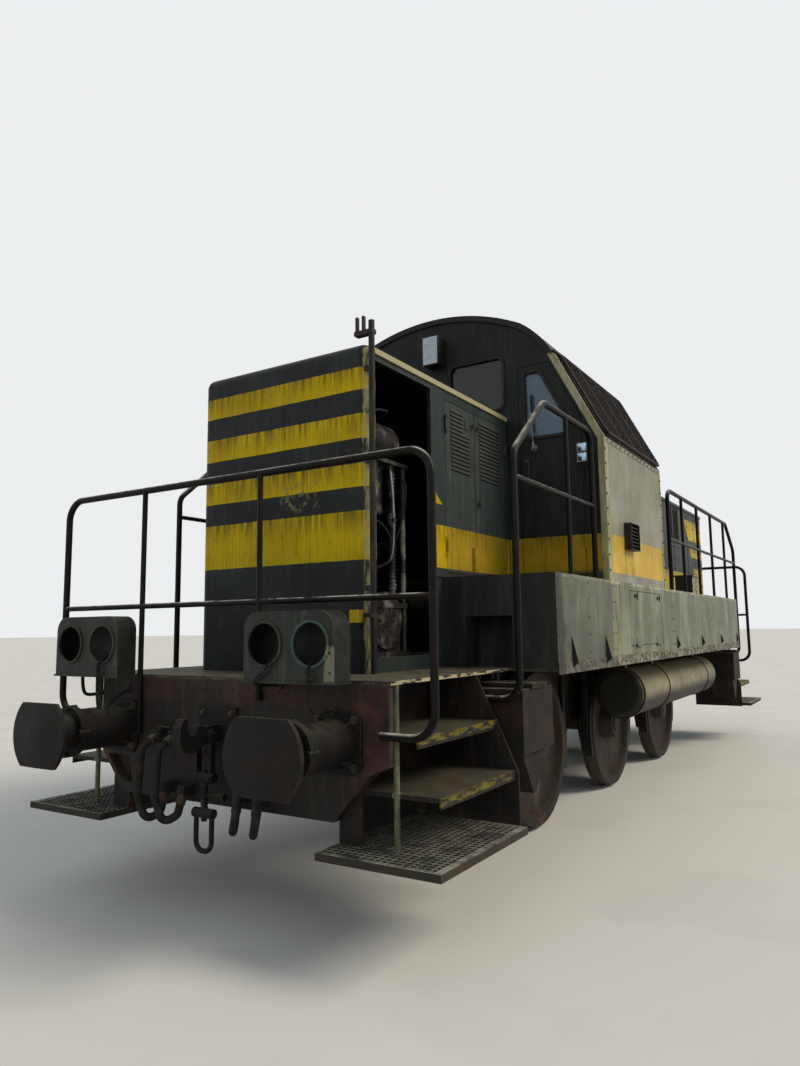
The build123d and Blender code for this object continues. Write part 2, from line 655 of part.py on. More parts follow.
def corner_steps():
    under = GRATING_TOP_Z - GRATING_DEPTH
    back = plate_across(
        [
            (STEP_INNER_Y, DECK_UNDER_Z), (PLATFORM_HALF, DECK_UNDER_Z), (1360, RAIL + 1080),
            (1490, RAIL + 790), (1490, under), (STEP_INNER_Y, under),
        ],
        STEP_BACK_X, STEP_PLATE)
    riser = block(
        (STEP_BACK_X + STEP_PLATE, STEP_FRONT_X), (STEP_INNER_Y, STEP_INNER_Y + STEP_PLATE), (under, DECK_UNDER_Z))
    front = plate_across(
        [
            (STEP_INNER_Y, DECK_UNDER_Z), (BEAM_HALF - 60, DECK_UNDER_Z), (BEAM_HALF - 60, BEAM_CORNER_Z),
            (1000, RAIL + 800), (1000, under), (STEP_INNER_Y, under),
        ],
        STEP_FRONT_X, STEP_PLATE)
    treads = [
        block(
            (STEP_BACK_X + STEP_PLATE, STEP_FRONT_X), (STEP_INNER_Y + STEP_PLATE, reach),
            (top - TREAD_THICKNESS, top))
        for top, reach in TREADS
    ]
    treads += [
        block((STEP_BACK_X + STEP_PLATE, STEP_FRONT_X), (reach - NOSING, reach), (top - NOSING_DROP, top))
        for top, reach in TREADS
    ]
    pole = bar_z(
        POLE_RADIUS, BEAM_BACK_X - 30, PLATFORM_HALF - POLE_RADIUS,
        (GRATING_TOP_Z + SEAT_GAP, DECK_UNDER_Z - SEAT_GAP))
    return [joined([back, riser, front, *treads]), pole]


def step_grating():
    inner, outer = GRATING_Y
    start, end = GRATING_X
    under = GRATING_TOP_Z - GRATING_DEPTH
    rim = block((start, end), (inner, outer), (under, GRATING_TOP_Z))
    rim -= block((start + 14, end - 14), (inner + 14, outer - 45), (under, GRATING_TOP_Z))
    count = int((outer - 45 - inner - 14) / GRATING_PITCH)
    bars = [
        block(
            (start + 14, end - 14),
            (inner + 14 + (n + 1) * GRATING_PITCH - GRATING_BAR, inner + 14 + (n + 1) * GRATING_PITCH),
            (GRATING_TOP_Z - 30, GRATING_TOP_Z))
        for n in range(count)
    ]
    return joined([rim, *bars])


def four_corners(shapes):
    """The same pieces at the left front, right front and both rear corners."""
    both_sides = list(shapes) + [mirrored(one) for one in shapes]
    return both_sides + [turned(one) for one in both_sides]


steps_place = step_grating()
steps_frames = corner_steps()
steps_frames[0] = steps_frames[0] - block(
    GRATING_X, GRATING_Y, (GRATING_TOP_Z - GRATING_DEPTH - 1, GRATING_TOP_Z + SEAT_GAP))
write("corner_steps", *four_corners(steps_frames))
write("step_gratings", *four_corners([steps_place]))

# Side boxes beside the hoods, with a climbing recess in the front face and gusset ribs outside.

BOX_CAB_END_X = 2253
FAR_BOX_CAB_END_X = 293
NEAR_RIBS_X = (3243, 2500)
FAR_RIBS_X = (180, -1030, -2190, -3362)
RECESS_Y = (899, 1257)
RECESS_TOP_Z = RAIL + 1730
RECESS_DEPTH = 230
RIB_THICKNESS = 10
LOWER_BAND_OUT = 4
LOWER_BAND_TOP_Z = RAIL + 1420
# Locker on the far side box: spans along and across, height
LOCKER_X = (-1600, -1300)
LOCKER_Y = (1250, 1450)
LOCKER_HEIGHT = 240
LOCKER_LID = 18
LOCKER_LID_OUT = 12


def lower_band(x_span):
    """Thicker strip along the foot of a side sheet."""
    return block(x_span, (BODY_HALF - 1, BODY_HALF + LOWER_BAND_OUT), (SKIRT_BOTTOM_Z, LOWER_BAND_TOP_Z))


def rib(x, foot_z, tip_z, width):
    outline = [(BODY_HALF, foot_z), (BODY_HALF + width, foot_z + 40), (BODY_HALF, tip_z)]
    return plate_across(outline, x - RIB_THICKNESS / 2, RIB_THICKNESS)


def near_box():
    body = block((BOX_CAB_END_X, BOX_END_X), (SHORT_HOOD_HALF + SEAT_GAP, BODY_HALF), (DECK_Z, BOX_TOP_Z))
    recess = block((BOX_END_X - RECESS_DEPTH, BOX_END_X), RECESS_Y, (DECK_Z, RECESS_TOP_Z))
    sill = block((BOX_CAB_END_X, BOX_END_X), (BODY_HALF - BOX_WALL, BODY_HALF), (SKIRT_BOTTOM_Z, DECK_Z))
    ribs = [rib(x, RAIL + 1370, RAIL + 1595, 45) for x in NEAR_RIBS_X]
    return joined([body - recess, sill, lower_band((BOX_CAB_END_X, BOX_END_X)), *ribs])


def far_box():
    body = block((-BOX_END_X, FAR_BOX_CAB_END_X), (LONG_HOOD_HALF + SEAT_GAP, BODY_HALF), (DECK_Z, BOX_TOP_Z))
    recess = block((-BOX_END_X, -BOX_END_X + RECESS_DEPTH), (LONG_HOOD_HALF + 60, 1400), (DECK_Z, RECESS_TOP_Z))
    sill = block((-BOX_END_X, FAR_BOX_CAB_END_X), (BODY_HALF - BOX_WALL, BODY_HALF), (SKIRT_BOTTOM_Z, DECK_Z))
    ribs = [rib(x, RAIL + 1416, RAIL + 1552, 35) for x in FAR_RIBS_X]
    lid_z = BOX_TOP_Z + LOCKER_HEIGHT - LOCKER_LID
    locker = block(LOCKER_X, LOCKER_Y, (BOX_TOP_Z - 1, lid_z))
    lid = block(
        (LOCKER_X[0] - LOCKER_LID_OUT, LOCKER_X[1] + LOCKER_LID_OUT),
        (LOCKER_Y[0] - LOCKER_LID_OUT, LOCKER_Y[1] + LOCKER_LID_OUT),
        (lid_z, lid_z + LOCKER_LID))
    return joined([body - recess, sill, lower_band((-BOX_END_X, FAR_BOX_CAB_END_X)), locker, lid, *ribs])


left_boxes = [near_box(), far_box()]
write("side_boxes", *left_boxes, *[mirrored(one) for one in left_boxes])

# Skirts under the cab, each with a hatch hinged along its lower edge.

HATCH_X = (742, 1813)
HATCH_Z = (RAIL + 1485, BOX_TOP_Z - 60)

HATCH_HINGES_X = (HATCH_X[0] + 200, HATCH_X[1] - 200)
HATCH_AXIS_Z = HATCH_Z[0]
HATCH_RIM = 30
HATCH_RIM_DEPTH = 14


def hatch_hinge(x):
    """Hinge on the skirt's outer face with its pin along X and its leaf upwards."""
    place = Plane((x, BODY_HALF, HATCH_AXIS_Z), x_dir=(0, 0, 1), z_dir=(-1, 0, 0)).location
    moving, fixed = hinge(0)
    return place * moving, [place * one for one in fixed]


def cab_skirt():
    inner_face = BODY_HALF - BOX_WALL
    sheet = block(
        (FAR_BOX_CAB_END_X + SEAT_GAP, BOX_CAB_END_X - SEAT_GAP), (inner_face, BODY_HALF),
        (SKIRT_BOTTOM_Z, BOX_TOP_Z))
    opening = block(HATCH_X, (inner_face, BODY_HALF), HATCH_Z)
    behind = (inner_face - HATCH_RIM_DEPTH, inner_face)
    rim = block(
        (HATCH_X[0] - HATCH_RIM, HATCH_X[1] + HATCH_RIM), behind, (HATCH_Z[0] - HATCH_RIM, HATCH_Z[1] + HATCH_RIM))
    rim -= block(
        (HATCH_X[0] + HATCH_RIM, HATCH_X[1] - HATCH_RIM), behind, (HATCH_Z[0] + HATCH_RIM, HATCH_Z[1] - HATCH_RIM))
    lugs = [lug for x in HATCH_HINGES_X for lug in hatch_hinge(x)[1]]
    band = lower_band((FAR_BOX_CAB_END_X + SEAT_GAP, BOX_CAB_END_X - SEAT_GAP))
    return joined([sheet - opening, rim, band, *lugs])


def skirt_hatch():
    leaf = block(
        (HATCH_X[0] + DOOR_GAP, HATCH_X[1] - DOOR_GAP),
        (BODY_HALF - BOX_WALL + DOOR_GAP, BODY_HALF),
        (HATCH_Z[0] + DOOR_GAP, HATCH_Z[1] - DOOR_GAP))
    return joined([leaf, *[hatch_hinge(x)[0] for x in HATCH_HINGES_X]])


write("cab_skirts", cab_skirt(), mirrored(cab_skirt()))
write("skirt_hatch_left", skirt_hatch())
write("skirt_hatch_right", mirrored(skirt_hatch()))

# Hoods: hollow sheet housings standing on the deck, with openings for their doors.

HOOD_CORNER = 70
BAY_X = (3648, 4359)
BAY_Z = (RAIL + 1470, RAIL + 3376)
LEAF_Z = (BOX_TOP_Z + 40, RAIL + 3345)
SHORT_LEAVES_X = [(2959, 3441), (2398, 2959)]
LONG_LEAVES_X = [(-570, -100), (-1040, -570)]
LONG_LEAF_Z = (BOX_TOP_Z + 40, RAIL + 3180)
GRILLE_X = [(-2540, -2200), (-2900, -2560)]
GRILLE_Z = (RAIL + 2804, RAIL + 3300)
FAN_X = -3300
FAN_RADIUS = 520


# columns: name, number, span along the hood, half-width, heights, place of the hinge along the hood
HOOD_DOORS = [
    ("short_door", 1, SHORT_LEAVES_X[0], SHORT_HOOD_HALF, LEAF_Z, SHORT_LEAVES_X[0][1]),
    ("short_door", 2, SHORT_LEAVES_X[1], SHORT_HOOD_HALF, LEAF_Z, SHORT_LEAVES_X[1][0]),
    ("long_door", 1, LONG_LEAVES_X[0], LONG_HOOD_HALF, LONG_LEAF_Z, LONG_LEAVES_X[0][1]),
    ("long_door", 2, LONG_LEAVES_X[1], LONG_HOOD_HALF, LONG_LEAF_Z, LONG_LEAVES_X[1][0]),
]
LEAF_HINGE_INSET = 190
LEAF_SKIN = 4
LEAF_RIM = 35

# Louvres: sheet pressed outwards, open at its lower edge
LOUVRE_COUNT = 15
LOUVRE_TOP_INSET = 40
LOUVRE_END_INSET = 85
LOUVRE_PITCH = 32
LOUVRE_DROP = 24
LOUVRE_OUT = 11
LOUVRE_SHEET = 3
# The first leaf's upper louvres are shorter, beside a square cover plate
SHORT_LOUVRES = 5
COVER_PLATE = 70
COVER_PLATE_GAP = 40
COVER_PLATE_OUT = 6
LATCH_Z = (RAIL + 2095, RAIL + 2262)
LATCH_INSET = 32
LATCH_WIDTH = 34
LATCH_OUT = 24


def leaf_hinges(x_span, half, z_span, hinge_x):
    """Both hinges of one hood leaf: moving pieces and fixed pieces."""
    leaf_towards_front = hinge_x < sum(x_span) / 2
    moving, fixed = [], []
    for height in (z_span[0] + LEAF_HINGE_INSET, z_span[1] - LEAF_HINGE_INSET):
        knuckle, ends = hinge(height)
        pieces = [knuckle, *ends]
        if not leaf_towards_front:
            pieces = [mirror(one, about=Plane.YZ) for one in pieces]
        pieces = [Pos(hinge_x, half, 0) * one for one in pieces]
        moving.append(pieces[0])
        fixed += pieces[1:]
    return moving, fixed


def hood_shell(x_span, half, top_z, round_end):
    body = block(x_span, (-half, half), (DECK_Z, top_z))
    end_edges = body.edges().filter_by(Axis.Z).sort_by(Axis.X)
    end_edges = end_edges[-2:] if round_end > 0 else end_edges[:2]
    body = fillet(end_edges, HOOD_CORNER)
    cab_end_x = x_span[0] if round_end > 0 else x_span[1]
    top_edges = body.faces().sort_by(Axis.Z)[-1].edges()
    body = fillet([edge for edge in top_edges if abs(edge.center().X - cab_end_x) > 1], HOOD_CORNER)
    inner = block(
        (x_span[0] + (HOOD_WALL if round_end < 0 else 0), x_span[1] - (HOOD_WALL if round_end > 0 else 0)),
        (-half + HOOD_WALL, half - HOOD_WALL),
        (DECK_Z, top_z - HOOD_WALL))
    return body - inner


def opening_through(x_span, half, z_span, side):
    """Door opening through one side wall of a hood."""
    faces = (half - HOOD_WALL - 5, half + 5)
    return block(x_span, faces if side > 0 else (-faces[1], -faces[0]), z_span)


GUTTER_OUT = 14
GUTTER_BELOW_TOP = (67, 30)
SILL_OUT = 16
SILL_HEIGHT = 22
COVER_THICKNESS = 4
# columns: span along the long hood, heights of a bolted cover on each side
LONG_COVERS = [
    ((-2890, -2560), (RAIL + 2110, RAIL + 2750)),
    ((-2540, -2210), (RAIL + 2110, RAIL + 2750)),
    ((-3840, -3400), (RAIL + 2070, RAIL + 3270)),
    ((-4300, -3860), (RAIL + 2070, RAIL + 3270)),
]


def gutter(x_span, half, top_z):
    """Rain strip along a hood's upper edge."""
    return block(x_span, (half - 12, half + GUTTER_OUT), (top_z - GUTTER_BELOW_TOP[0], top_z - GUTTER_BELOW_TOP[1]))


def door_sill(x_span, half):
    """Strip under a hood's doors, just above the side box."""
    return block(x_span, (half - 1, half + SILL_OUT), (BOX_TOP_Z + SEAT_GAP, BOX_TOP_Z + SILL_HEIGHT))


def fixed_hinges(name):
    """Hinge ends that stay on the hood, for both sides."""
    ends = []
    for door, _, span, half, heights, hinge_x in HOOD_DOORS:
        if door == name:
            ends += leaf_hinges(span, half, heights, hinge_x)[1]
    return ends + [mirrored(one) for one in ends]


short_hood = hood_shell((CAB_FRONT_X + SEAT_GAP, SHORT_HOOD_FRONT_X), SHORT_HOOD_HALF, SHORT_HOOD_TOP_Z, 1)
short_hood -= opening_through(BAY_X, SHORT_HOOD_HALF, BAY_Z, 1)
short_door_span = (SHORT_LEAVES_X[1][0], SHORT_LEAVES_X[0][1])
short_hood -= opening_through(short_door_span, SHORT_HOOD_HALF, LEAF_Z, 1)
short_hood -= opening_through(short_door_span, SHORT_HOOD_HALF, LEAF_Z, -1)
short_trim = [
    gutter((CAB_FRONT_X + SEAT_GAP, SHORT_HOOD_FRONT_X - HOOD_CORNER), SHORT_HOOD_HALF, SHORT_HOOD_TOP_Z),
    door_sill((CAB_FRONT_X + SEAT_GAP, BAY_X[0]), SHORT_HOOD_HALF),
]
short_trim += [mirrored(one) for one in short_trim]
write("short_hood", joined([short_hood, *short_trim, *fixed_hinges("short_door")]))

long_hood = hood_shell((LONG_HOOD_END_X, CAB_REAR_X - SEAT_GAP), LONG_HOOD_HALF, LONG_HOOD_TOP_Z, -1)
long_door_span = (LONG_LEAVES_X[1][0], LONG_LEAVES_X[0][1])
for side in (1, -1):
    long_hood -= opening_through(long_door_span, LONG_HOOD_HALF, LONG_LEAF_Z, side)
    for span in GRILLE_X:
        long_hood -= opening_through(span, LONG_HOOD_HALF, GRILLE_Z, side)
long_hood -= bar_z(FAN_RADIUS, FAN_X, 0, (LONG_HOOD_TOP_Z - 100, LONG_HOOD_TOP_Z + 10))
long_trim = [
    gutter((LONG_HOOD_END_X + HOOD_CORNER, CAB_REAR_X - SEAT_GAP), LONG_HOOD_HALF, LONG_HOOD_TOP_Z),
    door_sill((-BOX_END_X, CAB_REAR_X - SEAT_GAP), LONG_HOOD_HALF),
]
long_trim += [
    block(span, (LONG_HOOD_HALF - 1, LONG_HOOD_HALF + COVER_THICKNESS), heights) for span, heights in LONG_COVERS
]
long_trim += [mirrored(one) for one in long_trim]
write("long_hood", joined([long_hood, *long_trim, *fixed_hinges("long_door")]))

# Hood doors: leaves with louvres pressed out of the sheet, hinged at their outer edges.


def louvre(x_span, half, top):
    """One louvre as its outer wedge and the space under it, which also cuts the leaf's skin."""
    foot = top - LOUVRE_DROP
    outline = [(half - 1, top), (half + LOUVRE_OUT, foot), (half - 1, foot)]
    wedge = plate_across(outline, x_span[0], x_span[1] - x_span[0])
    behind = half - LEAF_SKIN - 1
    space = plate_across(
        [
            (behind, top - LOUVRE_SHEET - 3), (half, top - LOUVRE_SHEET - 3),
            (half + LOUVRE_OUT - LOUVRE_SHEET, foot), (behind, foot),
        ],
        x_span[0] + LOUVRE_SHEET, x_span[1] - x_span[0] - 2 * LOUVRE_SHEET)
    return wedge, space


def hood_leaf(x_span, half, z_span, hinge_x, latched, cover_plate):
    start, end = x_span[0] + DOOR_GAP, x_span[1] - DOOR_GAP
    low, high = z_span[0] + DOOR_GAP, z_span[1] - DOOR_GAP
    leaf = block((start, end), (half - DOOR_THICKNESS, half), (low, high))
    leaf -= block(
        (start + LEAF_RIM, end - LEAF_RIM), (half - DOOR_THICKNESS, half - LEAF_SKIN),
        (low + LEAF_RIM, high - LEAF_RIM))
    wedges, spaces = [], []
    for n in range(LOUVRE_COUNT):
        top = high - LOUVRE_TOP_INSET - n * LOUVRE_PITCH
        shorter = COVER_PLATE + COVER_PLATE_GAP if cover_plate and n < SHORT_LOUVRES else 0
        span = (start + LOUVRE_END_INSET + shorter, end - LOUVRE_END_INSET)
        wedge, space = louvre(span, half, top)
        wedges.append(wedge)
        spaces.append(space)
    pieces = [leaf, *wedges, *leaf_hinges(x_span, half, z_span, hinge_x)[0]]
    if latched:
        latch_x = start + LATCH_INSET
        pieces.append(block((latch_x, latch_x + LATCH_WIDTH), (half - 1, half + LATCH_OUT), LATCH_Z))
    if cover_plate:
        plate_x = start + LOUVRE_END_INSET
        plate_z = high - LOUVRE_TOP_INSET - (SHORT_LOUVRES / 2) * LOUVRE_PITCH
        pieces.append(block(
            (plate_x, plate_x + COVER_PLATE), (half - 1, half + COVER_PLATE_OUT),
            (plate_z - COVER_PLATE / 2, plate_z + COVER_PLATE / 2)))
    return joined(pieces).cut(*spaces)


for name, number, span, half, heights, hinge_x in HOOD_DOORS:
    leaf = hood_leaf(span, half, heights, hinge_x, number == 1, (name, number) == ("short_door", 1))
    write(f"{name}_left_{number}", leaf)
    write(f"{name}_right_{number}", mirrored(leaf))

# Radiator grilles in the long hood's sides, and the fan and exhaust on its roof.

GRILLE_RIM = 22
GRILLE_RIM_DEPTH = 24
GRILLE_MESH = 4
# Expanded metal: diamonds in staggered rows, with strands between them
DIAMOND_WIDTH = 46
DIAMOND_HEIGHT = 72
STRAND = 8


def diamonds(x_span, z_span):
    """Corners of each diamond hole that fits in the panel, row by row."""
    pitch_x = DIAMOND_WIDTH + STRAND
    pitch_z = (DIAMOND_HEIGHT + STRAND) / 2
    columns = int((x_span[1] - x_span[0] - STRAND) / pitch_x)
    rows = int((z_span[1] - z_span[0] - STRAND) / pitch_z) - 1
    margin_x = (x_span[1] - x_span[0] - columns * pitch_x) / 2
    margin_z = (z_span[1] - z_span[0] - (rows + 1) * pitch_z) / 2
    holes = []
    for row in range(rows):
        shift = row % 2
        for column in range(columns - shift):
            x = x_span[0] + margin_x + (column + 0.5 + shift / 2) * pitch_x
            z = z_span[0] + margin_z + (row + 1) * pitch_z
            half_x, half_z = DIAMOND_WIDTH / 2, DIAMOND_HEIGHT / 2
            holes.append([(x - half_x, z), (x, z - half_z), (x + half_x, z), (x, z + half_z)])
    return holes


def side_grille(span):
    start, end = span[0] + SEAT_GAP, span[1] - SEAT_GAP
    low, high = GRILLE_Z[0] + SEAT_GAP, GRILLE_Z[1] - SEAT_GAP
    faces = (LONG_HOOD_HALF - GRILLE_RIM_DEPTH, LONG_HOOD_HALF)
    inner_x, inner_z = (start + GRILLE_RIM, end - GRILLE_RIM), (low + GRILLE_RIM, high - GRILLE_RIM)
    rim = block((start, end), faces, (low, high)) - block(inner_x, faces, inner_z)
    middle = sum(faces) / 2 + GRILLE_MESH / 2
    place = Plane((0, middle, 0), x_dir=(1, 0, 0), z_dir=(0, -1, 0))
    edge = [
        (inner_x[0] - 1, inner_z[0] - 1), (inner_x[1] + 1, inner_z[0] - 1),
        (inner_x[1] + 1, inner_z[1] + 1), (inner_x[0] - 1, inner_z[1] + 1),
    ]
    sheet = Face(Polyline(*edge, close=True), [Polyline(*hole, close=True) for hole in diamonds(inner_x, inner_z)])
    return joined([rim, extrude(place * sheet, amount=GRILLE_MESH, dir=(0, -1, 0))])


left_grilles = [side_grille(span) for span in GRILLE_X]
write("hood_grilles", *left_grilles, *[mirrored(one) for one in left_grilles])

FAN_RING = 30
FAN_GUARD_BARS = 5
EXHAUST_X = -1500
EXHAUST_RADIUS = 110

fan_ring = bar_z(FAN_RADIUS + FAN_RING, FAN_X, 0, (LONG_HOOD_TOP_Z, LONG_HOOD_TOP_Z + 60))
fan_ring -= bar_z(FAN_RADIUS, FAN_X, 0, (LONG_HOOD_TOP_Z, LONG_HOOD_TOP_Z + 60))
fan_bars = [
    Pos(FAN_X, 0, LONG_HOOD_TOP_Z + 50) * Rot(0, 0, 180 * n / FAN_GUARD_BARS) * Box(2 * FAN_RADIUS + 20, 16, 12)
    for n in range(FAN_GUARD_BARS)
]
fan_ring_part = joined([fan_ring, *fan_bars])
exhaust = bar_z(EXHAUST_RADIUS, EXHAUST_X, 0, (LONG_HOOD_TOP_Z, LONG_HOOD_TOP_Z + 260))
exhaust -= bar_z(EXHAUST_RADIUS - 8, EXHAUST_X, 0, (LONG_HOOD_TOP_Z + 10, LONG_HOOD_TOP_Z + 260))
exhaust_base = block((EXHAUST_X - 180, EXHAUST_X + 180), (-180, 180), (LONG_HOOD_TOP_Z, LONG_HOOD_TOP_Z + 10))
write("roof_fittings", fan_ring_part, joined([exhaust, exhaust_base]))

# Engine and transmission: one plain block each, at their real places.

ENGINE = ((-2000, -150), (-480, 480), (DECK_Z + SEAT_GAP, RAIL + 2950))
TRANSMISSION = ((760, 1300), (-420, 420), (RAIL + 1080, DECK_UNDER_Z - SEAT_GAP))
write("engine_block", block(*ENGINE))
write("transmission_block", block(*TRANSMISSION))

# Bay machinery seen through the missing doors: compressor set, air reservoirs, filter and pipes.

BAY_FLOOR_Z = DECK_Z + SEAT_GAP
BAY_EQUIPMENT_X = (BAY_X[0] + 52, BAY_X[1] - 29)
BED_Y = (-250, 560)
BED_TOP_Z = BAY_FLOOR_Z + 120
CRANKCASE_X = (3760, 4260)
CRANKCASE_Y = (60, 520)
CRANKCASE_TOP_Z = BED_TOP_Z + 400
CYLINDERS_X = (3880, 4130)
CYLINDER_Y = 290
CYLINDER_RADIUS = 85
CYLINDER_HEIGHT = 270
FIN_RADIUS = 105
FIN_COUNT = 8
FIN = 14
FIN_PITCH = 30
HEAD_HALF = 90
HEAD_HEIGHT = 70
PULLEY_X = 4010
PULLEY_Z = BED_TOP_Z + 210
PULLEY_RADIUS = 190
PULLEY_WIDTH = 50
GUARD_BAR_Z = (RAIL + 1790, RAIL + 1822)
GUARD_BAR_Y = (CRANKCASE_Y[1] + PULLEY_WIDTH + 2, CRANKCASE_Y[1] + PULLEY_WIDTH + 12)

RACK_Y = (-60, -40)
RACK_TOP_Z = RAIL + 3300
SHELF_Z = (RAIL + 2790, RAIL + 2815)
SHELF_Y = (-40, 560)
AIR_TANK_RADIUS = 150
AIR_TANK_X = (3720, 4300)
AIR_TANK_Y = 380
AIR_TANK_DOME = 60
DRUM_RADIUS = 130
DRUM_PLACE = (3860, 300)
DRUM_FOOT_Z = RAIL + 2455
COOLER_X = (4060, 4320)
COOLER_Y = (100, 540)
COOLER_FINS = 9
COOLER_FIN = 12
COOLER_FOOT_Z = RAIL + 2450
HOSE_PLACE = (3802, 480)
HOSE_CORE_RADIUS = 26
HOSE_RIB_RADIUS = 33
HOSE_RIB = 12
HOSE_RIB_PITCH = 26
RISER_PLACE = (3735, 532)
RISER_RADIUS = 20
PIPE_RADIUS = 22
PIPE_BEND = 60
PIPE_REACH_Y = 420
# columns: place along the hood, lower height, upper height
LOOP_PIPES = [(4000, RAIL + 2330, RAIL + 2600), (3700, RAIL + 2250, RAIL + 2500)]


def compressor_set():
    bed = block(BAY_EQUIPMENT_X, BED_Y, (BAY_FLOOR_Z, BED_TOP_Z))
    crankcase = block(CRANKCASE_X, CRANKCASE_Y, (BED_TOP_Z, CRANKCASE_TOP_Z))
    crankcase = chamfer(crankcase.edges().filter_by(Axis.X).sort_by(Axis.Z)[-2:], 70)
    head_z = CRANKCASE_TOP_Z + CYLINDER_HEIGHT
    cylinders = []
    for x in CYLINDERS_X:
        cylinders.append(bar_z(CYLINDER_RADIUS, x, CYLINDER_Y, (CRANKCASE_TOP_Z - 1, head_z)))
        for n in range(FIN_COUNT):
            z = CRANKCASE_TOP_Z + 20 + n * FIN_PITCH
            cylinders.append(bar_z(FIN_RADIUS, x, CYLINDER_Y, (z, z + FIN)))
        cylinders.append(block(
            (x - HEAD_HALF, x + HEAD_HALF), (CYLINDER_Y - HEAD_HALF, CYLINDER_Y + HEAD_HALF),
            (head_z, head_z + HEAD_HEIGHT)))
    pulley = bar_y(PULLEY_RADIUS, PULLEY_X, (CRANKCASE_Y[1], CRANKCASE_Y[1] + PULLEY_WIDTH), PULLEY_Z)
    groove = pulley - bar_y(PULLEY_RADIUS - 18, PULLEY_X, (CRANKCASE_Y[1], CRANKCASE_Y[1] + PULLEY_WIDTH), PULLEY_Z)
    pulley -= groove & block(
        (0, 2 * PULLEY_X), (CRANKCASE_Y[1] + 15, CRANKCASE_Y[1] + PULLEY_WIDTH - 15), (0, 2 * PULLEY_Z))
    guard_bar = block((CRANKCASE_X[0], CRANKCASE_X[1]), GUARD_BAR_Y, GUARD_BAR_Z)
    stays = [
        block((x, x + 20), (CRANKCASE_Y[1] - 1, GUARD_BAR_Y[1]), GUARD_BAR_Z)
        for x in (CRANKCASE_X[0], CRANKCASE_X[1] - 20)
    ]
    return joined([bed, crankcase, *cylinders, pulley, guard_bar, *stays])


def bay_pipes():
    rack = block(BAY_EQUIPMENT_X, RACK_Y, (BED_TOP_Z, RACK_TOP_Z))
    tank = bar_x(AIR_TANK_RADIUS, AIR_TANK_X, AIR_TANK_Y, SHELF_Z[1] + AIR_TANK_RADIUS - 1)
    tank = fillet(tank.edges().filter_by(GeomType.CIRCLE), AIR_TANK_DOME)
    shelf = block(BAY_EQUIPMENT_X, SHELF_Y, SHELF_Z)
    drum = bar_z(DRUM_RADIUS, *DRUM_PLACE, (DRUM_FOOT_Z, SHELF_Z[0] + 1))
    drum = fillet(drum.edges().filter_by(GeomType.CIRCLE).sort_by(Axis.Z)[0], 30)
    cooler = block(COOLER_X, COOLER_Y, (COOLER_FOOT_Z, SHELF_Z[0] + 1))
    fin_pitch = (SHELF_Z[0] - COOLER_FOOT_Z) / COOLER_FINS
    gaps = [
        block(
            (COOLER_X[0] + 25, COOLER_X[1] - 25), (COOLER_Y[1] - 60, COOLER_Y[1] + 1),
            (COOLER_FOOT_Z + n * fin_pitch + COOLER_FIN, COOLER_FOOT_Z + (n + 1) * fin_pitch))
        for n in range(COOLER_FINS)
    ]
    hose = [bar_z(HOSE_CORE_RADIUS, *HOSE_PLACE, (CRANKCASE_TOP_Z - 100, SHELF_Z[0] + 1))]
    ribs = int((SHELF_Z[0] - CRANKCASE_TOP_Z - 2 * HOSE_RIB_PITCH) / HOSE_RIB_PITCH)
    for n in range(ribs):
        z = CRANKCASE_TOP_Z + (n + 1) * HOSE_RIB_PITCH
        hose.append(bar_z(HOSE_RIB_RADIUS, *HOSE_PLACE, (z, z + HOSE_RIB)))
    riser = bar_z(RISER_RADIUS, *RISER_PLACE, (BED_TOP_Z, SHELF_Z[0] + 1))
    pipes = [
        bent_tube(
            [(x, SHELF_Y[0], z_low), (x, PIPE_REACH_Y, z_low), (x, PIPE_REACH_Y, z_high), (x, SHELF_Y[0], z_high)],
            PIPE_RADIUS, PIPE_BEND)
        for x, z_low, z_high in LOOP_PIPES
    ]
    return joined([rack, tank, shelf, drum, cooler.cut(*gaps), *hose, riser, *pipes])


write("compressor_set", compressor_set())
write("bay_pipes", bay_pipes() - compressor_set())

# Cab: one section with upright sides, leaning window walls and an arched roof.

LEAN_SLOPE = (BODY_HALF - LEAN_TOP_HALF) / (LEAN_TOP_Z - EAVE_Z)
LEAN_COS = 1 / math.sqrt(1 + LEAN_SLOPE ** 2)
LEAN_SIN = LEAN_SLOPE * LEAN_COS
ROOF_CORNER = (LEAN_TOP_HALF - 117, LEAN_TOP_Z + 166)
ROOF_SHOULDER = (LEAN_TOP_HALF - 279, LEAN_TOP_Z + 310)
ROOF_OVERHANG = 20
CAB_FLOOR_TOP_Z = BOX_TOP_Z + 40
CAB_BOTTOM_Z = BOX_TOP_Z


def cab_section(inset):
    """Outline of the cab across the locomotive, set in from the outside."""
    foot = CAB_BOTTOM_Z - 200
    right = [(-BODY_HALF, foot), (-BODY_HALF, EAVE_Z), (-LEAN_TOP_HALF, LEAN_TOP_Z)]
    left = [(-y, z) for y, z in reversed(right)]
    shoulder_y, shoulder_z = ROOF_SHOULDER
    corner_y, corner_z = ROOF_CORNER
    outline = [
        Polyline(*left),
        Line(left[-1], right[0]),
        Polyline(*right),
        ThreePointArc(right[-1], (-corner_y, corner_z), (-shoulder_y, shoulder_z)),
        ThreePointArc((-shoulder_y, shoulder_z), (0, CROWN_Z), (shoulder_y, shoulder_z)),
        ThreePointArc((shoulder_y, shoulder_z), (corner_y, corner_z), left[0]),
    ]
    face = make_face(Curve() + outline)
    if inset:
        face = offset(face, amount=-inset, kind=Kind.INTERSECTION)
    return face


